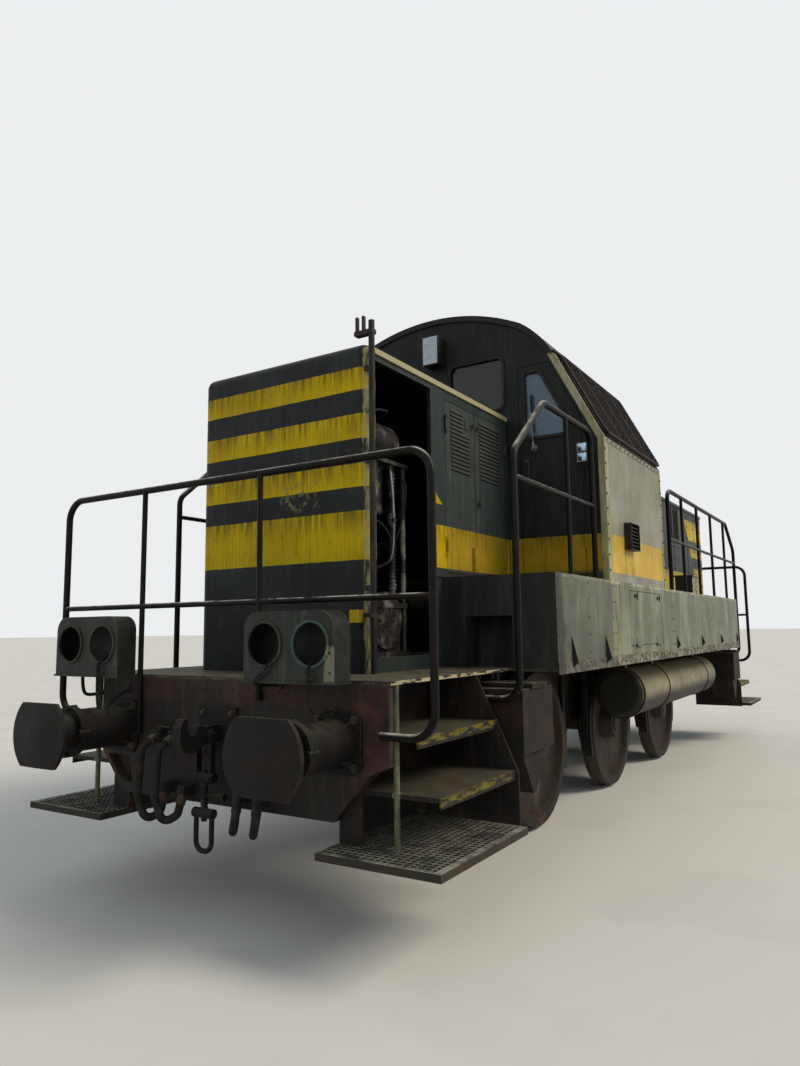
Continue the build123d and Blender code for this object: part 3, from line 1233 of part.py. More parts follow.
def cab_slice(face, x_span, z_span):
    """Length of the cab section between two heights."""
    place = Plane((x_span[0], 0, 0), x_dir=(0, 1, 0), z_dir=(1, 0, 0))
    body = extrude(place * face, amount=x_span[1] - x_span[0], dir=(1, 0, 0))
    return body & block(x_span, (-2 * BODY_HALF, 2 * BODY_HALF), z_span)


outer_section = cab_section(0)
inner_section = cab_section(CAB_WALL)
wall_fill_section = cab_section(CAB_WALL + SEAT_GAP)
shell_section = outer_section - inner_section

SIDE_STRIP = 35
SIDE_STRIP_OUT = 4
LEAN_TRIM_ALONG = (0, 860)
GUTTER_ABOVE_LEAN = 14
ROOF_GUTTER_OUT = 20
WINDOW_LOW = 75
WINDOW_HIGH = 800
SIDE_WINDOWS_X = [(640, 1430), (1470, 2260)]
GLASS = 8
GLASS_DEPTH = 21


def lean_prism(x_span, along_span, depth_span):
    """Block in the leaning wall: lengths up the slope from the eave, depths from the outer face inwards."""
    points = []
    for along, depth in [
        (along_span[0], depth_span[0]), (along_span[1], depth_span[0]),
        (along_span[1], depth_span[1]), (along_span[0], depth_span[1]),
    ]:
        points.append((
            BODY_HALF - LEAN_SIN * along - LEAN_COS * depth, EAVE_Z + LEAN_COS * along - LEAN_SIN * depth))
    return plate_across(points, x_span[0], x_span[1] - x_span[0])


side_walls = cab_slice(shell_section, (CAB_REAR_X, CAB_FRONT_X), (CAB_BOTTOM_Z, LEAN_TOP_Z))
for span in SIDE_WINDOWS_X:
    window = lean_prism(span, (WINDOW_LOW, WINDOW_HIGH), (-40, CAB_WALL + 40))
    side_walls -= window
    side_walls -= mirrored(window)
strip_faces = (BODY_HALF - 1, BODY_HALF + SIDE_STRIP_OUT)
side_trim = [block((CAB_REAR_X, CAB_FRONT_X), strip_faces, (EAVE_Z - SIDE_STRIP, EAVE_Z))]
for start in (CAB_REAR_X, CAB_FRONT_X - SIDE_STRIP):
    side_trim.append(block((start, start + SIDE_STRIP), strip_faces, (CAB_BOTTOM_Z, EAVE_Z)))
    side_trim.append(lean_prism((start, start + SIDE_STRIP), LEAN_TRIM_ALONG, (-SIDE_STRIP_OUT, 1)))
side_trim += [mirrored(one) for one in side_trim]
write("cab_side_walls", joined([side_walls, *side_trim]))

roof = cab_slice(
    shell_section, (CAB_REAR_X - ROOF_OVERHANG, CAB_FRONT_X + ROOF_OVERHANG), (LEAN_TOP_Z, CROWN_Z + 100))
roof_gutter = block(
    (CAB_REAR_X - ROOF_OVERHANG, CAB_FRONT_X + ROOF_OVERHANG),
    (LEAN_TOP_HALF - CAB_WALL / 2, LEAN_TOP_HALF + ROOF_GUTTER_OUT), (LEAN_TOP_Z, LEAN_TOP_Z + GUTTER_ABOVE_LEAN))
write("cab_roof", joined([roof, roof_gutter, mirrored(roof_gutter)]))

cab_floor = block(
    (CAB_REAR_X, CAB_FRONT_X), (-BODY_HALF + CAB_WALL + SEAT_GAP, BODY_HALF - CAB_WALL - SEAT_GAP),
    (CAB_BOTTOM_Z, CAB_FLOOR_TOP_Z))
write("cab_floor", cab_floor)

# Outlines that follow the leaning wall.
# columns: inner edge, outer edge, low edge, high edge, distance from the leaning wall measured level
FRONT_DOOR = (850, BODY_HALF - 175, CAB_FLOOR_TOP_Z + 10, RAIL + 3880, 80)
FRONT_DOOR_WINDOW = (904, BODY_HALF - 291, RAIL + 3235, RAIL + 3820, 198)
REAR_DOOR = (LONG_HOOD_HALF + 35, BODY_HALF - 75, CAB_FLOOR_TOP_Z + 10, RAIL + 3620, 80)
REAR_DOOR_WINDOW = (LONG_HOOD_HALF + 89, BODY_HALF - 245, RAIL + 3235, RAIL + 3570, 198)


def lean_outline(inner, outer, low, high, margin):
    """Five-cornered outline beside the leaning wall, in Y and Z."""
    knee = EAVE_Z + (BODY_HALF - margin - outer) / LEAN_SLOPE
    top_outer = BODY_HALF - margin - LEAN_SLOPE * (high - EAVE_Z)
    return [(inner, low), (outer, low), (outer, knee), (top_outer, high), (inner, high)]


HOOD_WINDOW_Y = (186, 721)
HOOD_WINDOW_Z = (RAIL + 3530, RAIL + 4010)
WINDOW_CORNER = 70
FRONT_WINDOW_CORNER = 45
REAR_WINDOW_CORNER = 24
DOOR_HINGES_Z = (RAIL + 2350, RAIL + 2900)


def hood_window(x_from, depth, side):
    pane = block((x_from, x_from + depth), HOOD_WINDOW_Y, HOOD_WINDOW_Z)
    pane = fillet(pane.edges().filter_by(Axis.X), WINDOW_CORNER)
    return pane if side > 0 else mirrored(pane)


def grown(points, amount):
    """The same flat outline, moved outwards all round."""
    face = offset(make_face(Polyline(*points, close=True)), amount=amount, kind=Kind.INTERSECTION)
    return face


def turn_tangent(before, corner, after):
    """Length that a corner's fillet takes from each of its sides, for a radius of 1."""
    arriving = math.atan2(corner[1] - before[1], corner[0] - before[0])
    leaving = math.atan2(after[1] - corner[1], after[0] - corner[0])
    return abs(math.tan((leaving - arriving) / 2))


def rounded(points, radius, inset=0):
    """Flat outline with corners as round as its sides leave room for, set in from the given one."""
    count = len(points)
    takes = [turn_tangent(points[n - 1], points[n], points[(n + 1) % count]) for n in range(count)]
    room = [math.dist(points[n], points[n - 1]) / (takes[n] + takes[n - 1]) for n in range(count)]
    radius = min(radius, 0.95 * min(room))
    face = fillet(make_face(Polyline(*points, close=True)).vertices(), radius)
    return offset(face, amount=-inset, kind=Kind.INTERSECTION) if inset else face


def face_across(face, x_from, thickness):
    place = Plane((x_from, 0, 0), x_dir=(0, 1, 0), z_dir=(1, 0, 0))
    return extrude(place * face, amount=thickness, dir=(1, 0, 0))


def cab_door_hinges(door):
    """Hinges on the cab's front face with the leaf towards -Y."""
    moving, fixed = [], []
    for height in DOOR_HINGES_Z:
        knuckle, ends = hinge(height)
        place = Pos(CAB_FRONT_X, door[1], 0) * Rot(0, 0, -90)
        moving.append(place * knuckle)
        fixed += [place * one for one in ends]
    return moving, fixed


def end_wall(door, window, corner):
    """End wall of the cab: door opening on the left, fixed window on the right, two windows over the hood."""
    start = CAB_FRONT_X - CAB_WALL
    wall = cab_slice(wall_fill_section, (start, CAB_FRONT_X), (CAB_FLOOR_TOP_Z + SEAT_GAP, CROWN_Z + 100))
    wall -= plate_across(lean_outline(*door), start - 5, CAB_WALL + 10)
    wall -= mirrored(face_across(rounded(lean_outline(*window), corner), start - 5, CAB_WALL + 10))
    for side in (1, -1):
        wall -= hood_window(start - 5, CAB_WALL + 10, side)
    return joined([wall, *cab_door_hinges(door)[1]])


def to_rear(shape):
    """The same piece on the cab's rear wall, with left and right exchanged."""
    return Pos(CAB_FRONT_X + CAB_REAR_X, 0, 0) * turned(shape)


front_wall = end_wall(FRONT_DOOR, FRONT_DOOR_WINDOW, FRONT_WINDOW_CORNER)
rear_wall = end_wall(REAR_DOOR, REAR_DOOR_WINDOW, REAR_WINDOW_CORNER)
write("cab_end_walls", front_wall, to_rear(rear_wall))

HANDLE_Z = RAIL + 3000


def end_door(door, window, corner):
    start = CAB_FRONT_X - CAB_WALL
    slab = face_across(grown(lean_outline(*door), -DOOR_GAP), start + DOOR_GAP, CAB_WALL - DOOR_GAP)
    slab -= face_across(rounded(lean_outline(*window), corner), start - 5, CAB_WALL + 10)
    handle_y = door[0] + 60
    handle = bar_x(10, (CAB_FRONT_X, CAB_FRONT_X + 45), handle_y, HANDLE_Z)
    lever = block(
        (CAB_FRONT_X + 35, CAB_FRONT_X + 47), (handle_y - 15, handle_y + 15), (HANDLE_Z - 100, HANDLE_Z + 30))
    return joined([slab, *cab_door_hinges(door)[0], handle, lever])


def end_door_glass(window, corner):
    return face_across(rounded(lean_outline(*window), corner, SEAT_GAP), CAB_FRONT_X - CAB_WALL / 2, GLASS)


front_door_glass = end_door_glass(FRONT_DOOR_WINDOW, FRONT_WINDOW_CORNER)
rear_door_glass = end_door_glass(REAR_DOOR_WINDOW, REAR_WINDOW_CORNER)
write("cab_door_front", end_door(FRONT_DOOR, FRONT_DOOR_WINDOW, FRONT_WINDOW_CORNER))
write("cab_door_rear", to_rear(end_door(REAR_DOOR, REAR_DOOR_WINDOW, REAR_WINDOW_CORNER)))
write("cab_door_glass_front", front_door_glass)
write("cab_door_glass_rear", to_rear(rear_door_glass))


def hood_window_glass(side):
    pane = block(
        (CAB_FRONT_X - CAB_WALL / 2, CAB_FRONT_X - CAB_WALL / 2 + GLASS),
        (HOOD_WINDOW_Y[0] + SEAT_GAP, HOOD_WINDOW_Y[1] - SEAT_GAP),
        (HOOD_WINDOW_Z[0] + SEAT_GAP, HOOD_WINDOW_Z[1] - SEAT_GAP))
    pane = fillet(pane.edges().filter_by(Axis.X), WINDOW_CORNER)
    return pane if side > 0 else mirrored(pane)


hood_panes = [hood_window_glass(1), hood_window_glass(-1)]
front_panes = [*hood_panes, mirrored(front_door_glass)]
rear_panes = [*hood_panes, mirrored(rear_door_glass)]
side_panes = [
    lean_prism(
        (span[0] + SEAT_GAP, span[1] - SEAT_GAP), (WINDOW_LOW + SEAT_GAP, WINDOW_HIGH - SEAT_GAP),
        (GLASS_DEPTH, GLASS_DEPTH + GLASS))
    for span in SIDE_WINDOWS_X
]
side_panes += [mirrored(one) for one in side_panes]
write("cab_glass", *front_panes, *[to_rear(one) for one in rear_panes], *side_panes)

# Guards over the leaning side windows: an outer frame with dividers and bars.

GUARD_X = (600, 2300)
GUARD_ALONG = (20, 850)
GUARD_TUBE = 13
GUARD_OUT = 32
GUARD_BEND = 50
GUARD_DIVIDER = 9
GUARD_DIVIDERS_X = (1040, 1450, 1860)
GUARD_WIRE = 6
GUARD_WIRE_PITCH = 72
GUARD_FOOT_HALF = 15


def lean_point(x, along, out):
    """Point over the leaning wall: place along the cab, length up the slope, distance out from the wall."""
    return (x, BODY_HALF - LEAN_SIN * along + LEAN_COS * out, EAVE_Z + LEAN_COS * along + LEAN_SIN * out)


def spaced(start, end, pitch):
    """Even places between two ends, at about the given pitch."""
    count = round((end - start) / pitch)
    return [start + (end - start) * n / count for n in range(1, count)]


def window_guard():
    start, end = GUARD_X[0] + GUARD_TUBE, GUARD_X[1] - GUARD_TUBE
    low, high = GUARD_ALONG[0] + GUARD_TUBE, GUARD_ALONG[1] - GUARD_TUBE
    middle = (start + end) / 2
    rim = []
    for side in (start, end):
        corners = [(middle, low), (side, low), (side, high), (middle, high)]
        rim.append(bent_tube([lean_point(x, along, GUARD_OUT) for x, along in corners], GUARD_TUBE, GUARD_BEND))
    dividers = [
        bent_tube([lean_point(x, low, GUARD_OUT), lean_point(x, high, GUARD_OUT)], GUARD_DIVIDER, 0)
        for x in GUARD_DIVIDERS_X
    ]
    wire_faces = (-GUARD_OUT - GUARD_WIRE / 2, -GUARD_OUT + GUARD_WIRE / 2)
    wires = [
        lean_prism((start, end), (along - GUARD_WIRE / 2, along + GUARD_WIRE / 2), wire_faces)
        for along in spaced(low, high, GUARD_WIRE_PITCH)
    ]
    wires += [
        lean_prism((x - GUARD_WIRE / 2, x + GUARD_WIRE / 2), (low, high), wire_faces)
        for x in spaced(start, end, GUARD_WIRE_PITCH)
    ]
    feet = [
        lean_prism((x - GUARD_FOOT_HALF, x + GUARD_FOOT_HALF), (along - 6, along + 6), (-GUARD_OUT, 0))
        for x in (start + 2 * GUARD_BEND, end - 2 * GUARD_BEND)
        for along in (low, high)
    ]
    return joined([*rim, *dividers, *wires, *feet])


write("window_guards", window_guard(), mirrored(window_guard()))

# Cab furniture: two desks and two seats.

SEAT_PLACES = [(1900, -900), (1000, 900)]
SEAT_HALF = 230
SEAT_HEIGHT = 420
CUSHION = 100
BACK_HEIGHT = 1020
CUSHION_ROUND = 25
SEAT_PILLAR_RADIUS = 45
SEAT_FOOT_RADIUS = 170


def cab_seat(x, y):
    base = CAB_FLOOR_TOP_Z + SEAT_GAP
    pillar = bar_z(SEAT_PILLAR_RADIUS, x, y, (base, base + SEAT_HEIGHT))
    foot = bar_z(SEAT_FOOT_RADIUS, x, y, (base, base + 15))
    cushion = block(
        (x - SEAT_HALF, x + SEAT_HALF), (y - SEAT_HALF, y + SEAT_HALF),
        (base + SEAT_HEIGHT, base + SEAT_HEIGHT + CUSHION))
    cushion = fillet(cushion.edges(), CUSHION_ROUND)
    back_x = x - SEAT_HALF if x > (CAB_FRONT_X + CAB_REAR_X) / 2 else x + SEAT_HALF
    back = block(
        (back_x - 45, back_x + 45), (y - SEAT_HALF + 10, y + SEAT_HALF - 10),
        (base + SEAT_HEIGHT + CUSHION - 20, base + BACK_HEIGHT))
    back = fillet(back.edges(), CUSHION_ROUND)
    return joined([pillar, foot, cushion, back])


DESK_X = (1240, 1660)
DESK_HALF_WIDTH = 420
DESK_TOP_Z = CAB_FLOOR_TOP_Z + 980
CONSOLE_INSET = 60
CONSOLE_TOP_INSET = 160
CONSOLE_TOP_Z = DESK_TOP_Z + 200
CONSOLE_HALF_WIDTH = 380
desk = block(DESK_X, (-DESK_HALF_WIDTH, DESK_HALF_WIDTH), (CAB_FLOOR_TOP_Z + SEAT_GAP, DESK_TOP_Z))
desk = fillet(desk.edges().filter_by(Axis.Z), 40)
console_outline = [
    (DESK_X[0] + CONSOLE_INSET, DESK_TOP_Z), (DESK_X[1] - CONSOLE_INSET, DESK_TOP_Z),
    (DESK_X[1] - CONSOLE_TOP_INSET, CONSOLE_TOP_Z), (DESK_X[0] + CONSOLE_TOP_INSET, CONSOLE_TOP_Z),
]
console = plate_along(console_outline, CONSOLE_HALF_WIDTH, 2 * CONSOLE_HALF_WIDTH)
write("cab_desk", joined([desk, console]))
write("cab_seats", *[cab_seat(x, y) for x, y in SEAT_PLACES])

# Tanks hung under the deck on straps.

TANK_Y = 1110
TANK_Z = RAIL + 1000
TANK_RADIUS = 240
TANK_X = (-2950, 690)
TANK_STRAPS_X = (622, -381, -2417)
STRAP_WIDTH = 60


def side_tank():
    drum = bar_x(TANK_RADIUS, TANK_X, TANK_Y, TANK_Z)
    drum = fillet(drum.edges().filter_by(GeomType.CIRCLE), 60)
    straps = []
    for x in TANK_STRAPS_X:
        straps.append(bar_x(TANK_RADIUS + 10, (x - STRAP_WIDTH / 2, x + STRAP_WIDTH / 2), TANK_Y, TANK_Z))
        straps.append(block(
            (x - STRAP_WIDTH / 2, x + STRAP_WIDTH / 2), (TANK_Y - 60, TANK_Y + 60),
            (TANK_Z + TANK_RADIUS - 20, DECK_UNDER_Z)))
    return joined([drum, *straps])


write("tanks", side_tank(), mirrored(side_tank()))

# Sandboxes behind the corner steps.

SAND_X = (3449, 3930)
SAND_Y = (1000, 1500)


def sandbox():
    upper = block(SAND_X, SAND_Y, (RAIL + 887, RAIL + 1271))
    lower = plate_along(
        [
            (SAND_X[0] + 60, RAIL + 887), (SAND_X[1] - 60, RAIL + 887),
            (SAND_X[1] - 220, RAIL + 620), (SAND_X[0] + 220, RAIL + 620),
        ],
        SAND_Y[1] - 40, 300)
    hangers = [
        block((x - 20, x + 20), (1020, 1100), (RAIL + 1250, DECK_UNDER_Z)) for x in (SAND_X[0] + 60, SAND_X[1] - 60)
    ]
    lid = block((SAND_X[0] + 120, SAND_X[1] - 120), (SAND_Y[0] + 120, SAND_Y[1] + 15), (RAIL + 1271, RAIL + 1300))
    return joined([upper, lower, lid, *hangers])


write("sandboxes", *four_corners([sandbox()]))

# Axleboxes in the frame's gaps, with coil springs above.

AXLEBOX_HALF = HORN_WIDTH / 2 - 6
AXLEBOX_DEPTH = 130


def axlebox(axle_x):
    y_span = (FRAME_PLATE_Y - AXLEBOX_DEPTH / 2, FRAME_PLATE_Y + AXLEBOX_DEPTH / 2)
    y_span = (y_span[0], min(y_span[1], HUB_INNER_Y - 8))
    body = block((axle_x - AXLEBOX_HALF, axle_x + AXLEBOX_HALF), y_span, (AXLE_Z - 170, AXLE_Z + 170))
    body -= bar_y(AXLE_DIAMETER / 2 + BEARING_GAP, axle_x, (y_span[0] - 10, y_span[1] + 10), AXLE_Z)
    spring = bar_z(40, axle_x, FRAME_PLATE_Y, (AXLE_Z + 170, HORN_TOP_Z - SEAT_GAP))
    return joined([body, spring])


left_axleboxes = [axlebox(x) for x in AXLE_PLACES.values()]
write("axleboxes", *left_axleboxes, *[mirrored(one) for one in left_axleboxes])

# Brake gear: a hanger and block on each side of every wheel.

BRAKE_Y = (WHEEL_INNER_Y + 42, WHEEL_OUTER_Y - 10)
SHOE_GAP = 6
SHOE_THICKNESS = 60
SHOE_HALF_ANGLE = 22


def brake_shoe(axle_x, direction):
    inner = WHEEL_RADIUS + SHOE_GAP
    ring = bar_y(inner + SHOE_THICKNESS, axle_x, BRAKE_Y, AXLE_Z) - bar_y(inner, axle_x, BRAKE_Y, AXLE_Z)
    reach = inner + SHOE_THICKNESS + 20
    height = reach * math.tan(math.radians(SHOE_HALF_ANGLE))
    wedge = plate_along(
        [
            (axle_x, AXLE_Z), (axle_x + direction * reach, AXLE_Z - height),
            (axle_x + direction * reach, AXLE_Z + height),
        ],
        BRAKE_Y[1] + 5, BRAKE_Y[1] - BRAKE_Y[0] + 10)
    shoe = ring & wedge
    hanger_x = axle_x + direction * (inner + SHOE_THICKNESS + 5)
    hanger = block(
        (hanger_x - 22, hanger_x + 22), (BRAKE_Y[0] + 20, BRAKE_Y[1] - 20), (AXLE_Z - 60, DECK_UNDER_Z - 40))
    bracket = block(
        (hanger_x - 40, hanger_x + 40), (PLATE_OUTER_Y, BRAKE_Y[1] - 10),
        (DECK_UNDER_Z - 60, DECK_UNDER_Z - SEAT_GAP))
    return joined([shoe, hanger, bracket])


left_shoes = [brake_shoe(x, direction) for x in AXLE_PLACES.values() for direction in (-1, 1)]
write("brake_gear", *left_shoes, *[mirrored(one) for one in left_shoes])

# Drive line: final drives round the axles and shafts between them.

FINAL_DRIVE_HALF = 230


def final_drive(axle_x):
    body = bar_y(250, axle_x, (-FINAL_DRIVE_HALF, FINAL_DRIVE_HALF), AXLE_Z)
    body = joined([body, block((axle_x - 160, axle_x + 160), (-130, 130), (AXLE_Z, AXLE_Z + 330))])
    bore_y = (-FINAL_DRIVE_HALF - 10, FINAL_DRIVE_HALF + 10)
    return body - bar_y(AXLE_DIAMETER / 2 + BEARING_GAP, axle_x, bore_y, AXLE_Z)


shafts = [
    bar_x(SHAFT_RADIUS, (start + 160, end - 160), 0, SHAFT_Z)
    for start, end in [(-WHEELBASE_HALF, 0), (0, WHEELBASE_HALF)]
]
write("drive_line", joined([*[final_drive(x) for x in AXLE_PLACES.values()], *shafts]))

# Signal mast at the short hood's corner, with a junction box at its foot.

MAST_X = SHORT_HOOD_FRONT_X - 11
MAST_Y = SHORT_HOOD_HALF + 29
MAST_TOP_Z = RAIL + 3610
JUNCTION_X = (SHORT_HOOD_FRONT_X + 25, SHORT_HOOD_FRONT_X + 80)
JUNCTION_Y = (SHORT_HOOD_HALF - 88, SHORT_HOOD_HALF - 13)
JUNCTION_Z = (RAIL + 1688, RAIL + 1766)
mast = bar_z(20, MAST_X, MAST_Y, (DECK_Z + SEAT_GAP, MAST_TOP_Z))
mast_clips = [
    block((MAST_X - 35, MAST_X + 5), (SHORT_HOOD_HALF - HOOD_WALL, MAST_Y), (z - 15, z + 15)) - short_hood
    for z in (RAIL + 1900, RAIL + 2700, RAIL + 3300)
]
mast_head = block((MAST_X - 25, MAST_X + 25), (MAST_Y - 120, MAST_Y + 20), (MAST_TOP_Z - 90, MAST_TOP_Z - 60))
mast_prongs = [
    block((MAST_X - 12, MAST_X + 12), (y - 8, y + 8), (MAST_TOP_Z - 60, MAST_TOP_Z + 40))
    for y in (MAST_Y - 110, MAST_Y - 60)
]
junction_box = block(JUNCTION_X, JUNCTION_Y, JUNCTION_Z)
JUNCTION_BAR_Z = (JUNCTION_Z[0] + 30, JUNCTION_Z[0] + 60)
junction_bar = block((MAST_X - 12, JUNCTION_X[0]), (MAST_Y - 12, MAST_Y + 12), JUNCTION_BAR_Z)
junction_arm = block((JUNCTION_X[0] - 12, JUNCTION_X[0] + 12), (JUNCTION_Y[1] - 5, MAST_Y + 12), JUNCTION_BAR_Z)
write("signal_mast", joined([mast, *mast_clips, mast_head, *mast_prongs, junction_box, junction_bar, junction_arm]))

# Small fittings on the cab: mirror and vent boxes.

# Two small mirrors one above the other, on one arm
MIRROR_Y = BODY_HALF - 141
MIRROR_HALF = 38
MIRROR_X = (CAB_FRONT_X + 110, CAB_FRONT_X + 120)
MIRRORS_Z = [(RAIL + 2960, RAIL + 3030), (RAIL + 3042, RAIL + 3110)]
MIRROR_ARM_Z = RAIL + 3036
MIRROR_ARM_RADIUS = 8
mirror_plates = [
    block(MIRROR_X, (MIRROR_Y - MIRROR_HALF, MIRROR_Y + MIRROR_HALF), heights) for heights in MIRRORS_Z
]
mirror_stem = block(
    (MIRROR_X[0] - 8, MIRROR_X[0] + 1), (MIRROR_Y - 9, MIRROR_Y + 9), (MIRRORS_Z[0][0] + 15, MIRRORS_Z[1][1] - 15))
mirror_arm = bar_x(MIRROR_ARM_RADIUS, (CAB_FRONT_X + SEAT_GAP, MIRROR_X[0] - 4), MIRROR_Y, MIRROR_ARM_Z)

# Vent box on each cab side, open at its outer face.
VENT_X = (1616, 1876)
VENT_Z = (RAIL + 2289, RAIL + 2515)
VENT_OUT = 60
VENT_WALL = 6
VENT_DEPTH = 40
VENT_SLATS = 6
VENT_SLAT = 7
vent_outer_y = BODY_HALF + VENT_OUT
vent_box = block(VENT_X, (BODY_HALF + SEAT_GAP, vent_outer_y), VENT_Z)
vent_inside_x = (VENT_X[0] + VENT_WALL, VENT_X[1] - VENT_WALL)
vent_box -= block(
    vent_inside_x, (vent_outer_y - VENT_DEPTH, vent_outer_y), (VENT_Z[0] + VENT_WALL, VENT_Z[1] - VENT_WALL))
vent_slats = [
    block(
        (vent_inside_x[0] - 1, vent_inside_x[1] + 1), (vent_outer_y - VENT_DEPTH - 1, vent_outer_y - 8),
        (z - VENT_SLAT / 2, z + VENT_SLAT / 2))
    for z in spaced(VENT_Z[0] + VENT_WALL, VENT_Z[1] - VENT_WALL, (VENT_Z[1] - VENT_Z[0]) / (VENT_SLATS + 1))
]
vent_box = joined([vent_box, *vent_slats])
write("cab_fittings", joined([*mirror_plates, mirror_stem, mirror_arm]), vent_box, mirrored(vent_box))
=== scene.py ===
"""Looks of a diesel shunting locomotive that has stood outdoors for years: finishes, fasteners and trim."""
import json
import math

import bmesh
import bpy
from mathutils import Matrix, Vector


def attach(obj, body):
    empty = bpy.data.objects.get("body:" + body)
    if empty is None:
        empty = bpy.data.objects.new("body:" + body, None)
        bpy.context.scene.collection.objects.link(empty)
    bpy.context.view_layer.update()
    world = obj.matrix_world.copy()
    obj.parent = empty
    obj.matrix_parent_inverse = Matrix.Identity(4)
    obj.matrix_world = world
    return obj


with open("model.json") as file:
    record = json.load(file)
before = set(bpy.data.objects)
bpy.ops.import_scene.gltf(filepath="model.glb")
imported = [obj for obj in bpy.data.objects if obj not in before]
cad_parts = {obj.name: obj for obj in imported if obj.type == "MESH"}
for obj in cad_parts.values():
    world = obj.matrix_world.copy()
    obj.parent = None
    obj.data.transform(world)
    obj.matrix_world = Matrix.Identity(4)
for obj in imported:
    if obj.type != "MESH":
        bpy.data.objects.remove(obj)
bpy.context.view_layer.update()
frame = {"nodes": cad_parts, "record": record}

# Measures in metres, as on the solids. A height above the rail is RAIL higher in the frame, whose zero is the
# flange tips; FAR lies outside the locomotive on every side.
RAIL = 0.028
FAR = 9.0
BODY_HALF = 1.575
SHORT_HOOD_HALF = 0.728
LONG_HOOD_HALF = 0.975
SHORT_HOOD_FRONT_X = 4.451
LONG_HOOD_END_X = -4.443
SHORT_HOOD_TOP_Z = RAIL + 3.482
LONG_HOOD_TOP_Z = RAIL + 3.370
HOOD_WALL = 0.030
CAB_FRONT_X = 2.340
CAB_REAR_X = 0.560
EAVE_Z = RAIL + 3.174
LEAN_TOP_Z = RAIL + 3.954
LEAN_TOP_HALF = 1.179
BOX_TOP_Z = RAIL + 2.011
DECK_Z = RAIL + 1.377
SKIRT_FOOT_Z = RAIL + 1.339
BEAM_X = 4.965
LEAN_SLOPE = (BODY_HALF - LEAN_TOP_HALF) / (LEAN_TOP_Z - EAVE_Z)
LEAN_COS = 1 / math.sqrt(1 + LEAN_SLOPE ** 2)
LEAN_SIN = LEAN_SLOPE * LEAN_COS

# The junction box at the mast's foot, just inside its corners
JUNCTION_LOW = (4.474, 0.638, RAIL + 1.686)
JUNCTION_HIGH = (4.533, 0.7145, RAIL + 1.768)

# Yellow bands, heights above the rail: the waist band runs all along, the upper ones only round the hood ends
WAIST_BAND = (2.078, 2.388)
SHORT_HOOD_BANDS = [(2.541, 2.692), (2.852, 3.013), (3.169, 3.328)]
LONG_HOOD_BANDS = [(2.373, 2.491), (2.655, 2.790), (2.900, 3.190)]
# Where the upper bands stop on a hood side: place along it, at a height, and its move for a metre up
SHORT_BAND_CUT = (3.658, 2.676, 1.23)
LONG_BAND_CUT = (-3.368, 3.034, 0.65)

# Paints, metals and dirt as the eye reads them, with some painted light and shade among them, sRGB
CHARCOAL = "#202324"
CHARCOAL_FADED = "#2c3030"
BAND_YELLOW = "#c4a800"
# A sunlit and a shaded copy of the band yellow: painted light on the cab sides, painted shade on the doors
# and cab ends
BAND_YELLOW_SUNNY = "#cba82a"
BAND_YELLOW_SHADED = "#ab8c16"
BAND_STAIN = "#2f2b10"
DOOR_GREEN = "#333b3a"
POST_CREAM = "#a39c76"
SIDE_OLIVE = "#646a58"
SIDE_PALE = "#a3a696"
CAB_BEIGE = "#838070"
TRIM_CREAM = "#a9a682"
MOSS_YELLOW = "#85814e"
ROOF_DARK = "#101113"
INNER_GREY = "#34372f"
BEAM_BROWN = "#231e1b"
BEAM_RED = "#502e2a"
RUST = "#4b2c1c"
RUST_PALE = "#6b4a30"
DUST = "#87836b"
# Dark grime; also the painted shade inside the hoods and on the tanks' undersides and ends
GRIME_AND_SHADE = "#141310"
NEARLY_BLACK = "#151516"
TANK_DUN = "#7c765c"
BARE_STEEL = "#8d8b86"
GLASS_TINT = "#6e93ad"

# Old paint and rust are porous and reflect less than a fresh coat
OLD_SPECULAR = 0.22


def linear(hex_colour):
    """An sRGB hex value as linear light with full opacity."""
    channels = [int(hex_colour[place:place + 2], 16) / 255 for place in (1, 3, 5)]
    return (*[c / 12.92 if c <= 0.04045 else ((c + 0.055) / 1.055) ** 2.4 for c in channels], 1.0)


def add(tree, kind, inputs=None, output=0, **settings):
    """Add one shader node, set its options and its inputs, and return one of its outputs."""
    made = tree.nodes.new("ShaderNode" + kind)
    for option, value in settings.items():
        setattr(made, option, value)
    for socket, value in (inputs or {}).items():
        if isinstance(value, bpy.types.NodeSocket):
            tree.links.new(value, made.inputs[socket])
        elif isinstance(value, str):
            made.inputs[socket].default_value = linear(value)
        else:
            made.inputs[socket].default_value = value
    return made.outputs[output] if made.outputs else made


def started(name):
    """A new material, its node tree and the place on the object that its patterns read."""
    material = bpy.data.materials.new(name)
    material.use_nodes = True
    material.node_tree.nodes.clear()
    tree = material.node_tree
    return material, tree, add(tree, "TexCoord", output="Object")


def surface(tree, colour, roughness, relief=None, depth=0.0008, **more):
    """The finished surface, with relief as a height from 0 to 1 of a real depth."""
    inputs = {"Base Color": colour, "Roughness": roughness, "Specular IOR Level": OLD_SPECULAR}
    inputs.update({socket.replace("_", " "): value for socket, value in more.items()})
    if relief is not None:
        inputs["Normal"] = add(tree, "Bump", {"Height": relief, "Distance": depth, "Strength": 1.0})
    add(tree, "OutputMaterial", {"Surface": add(tree, "BsdfPrincipled", inputs)})


def weather_patches(tree, point, size, low, high, most=1.0, seed=0.0, detail=4.0):
    """Irregular patches as the weather leaves them: 0 between them, most in them.

    The size is in metres, one length or three.
    """
    lengths = size if isinstance(size, tuple) else (size, size, size)
    shift = (seed, seed * 0.7, seed * 1.3)
    scale = tuple(1 / length for length in lengths)
    placed = add(tree, "Mapping", {"Vector": point, "Location": shift, "Scale": scale})
    cloud = add(tree, "TexNoise", {"Vector": placed, "Scale": 1.0, "Detail": detail, "Roughness": 0.55})
    return add(
        tree, "MapRange", {"Value": cloud, "From Min": low, "From Max": high, "To Max": most},
        interpolation_type="SMOOTHSTEP")


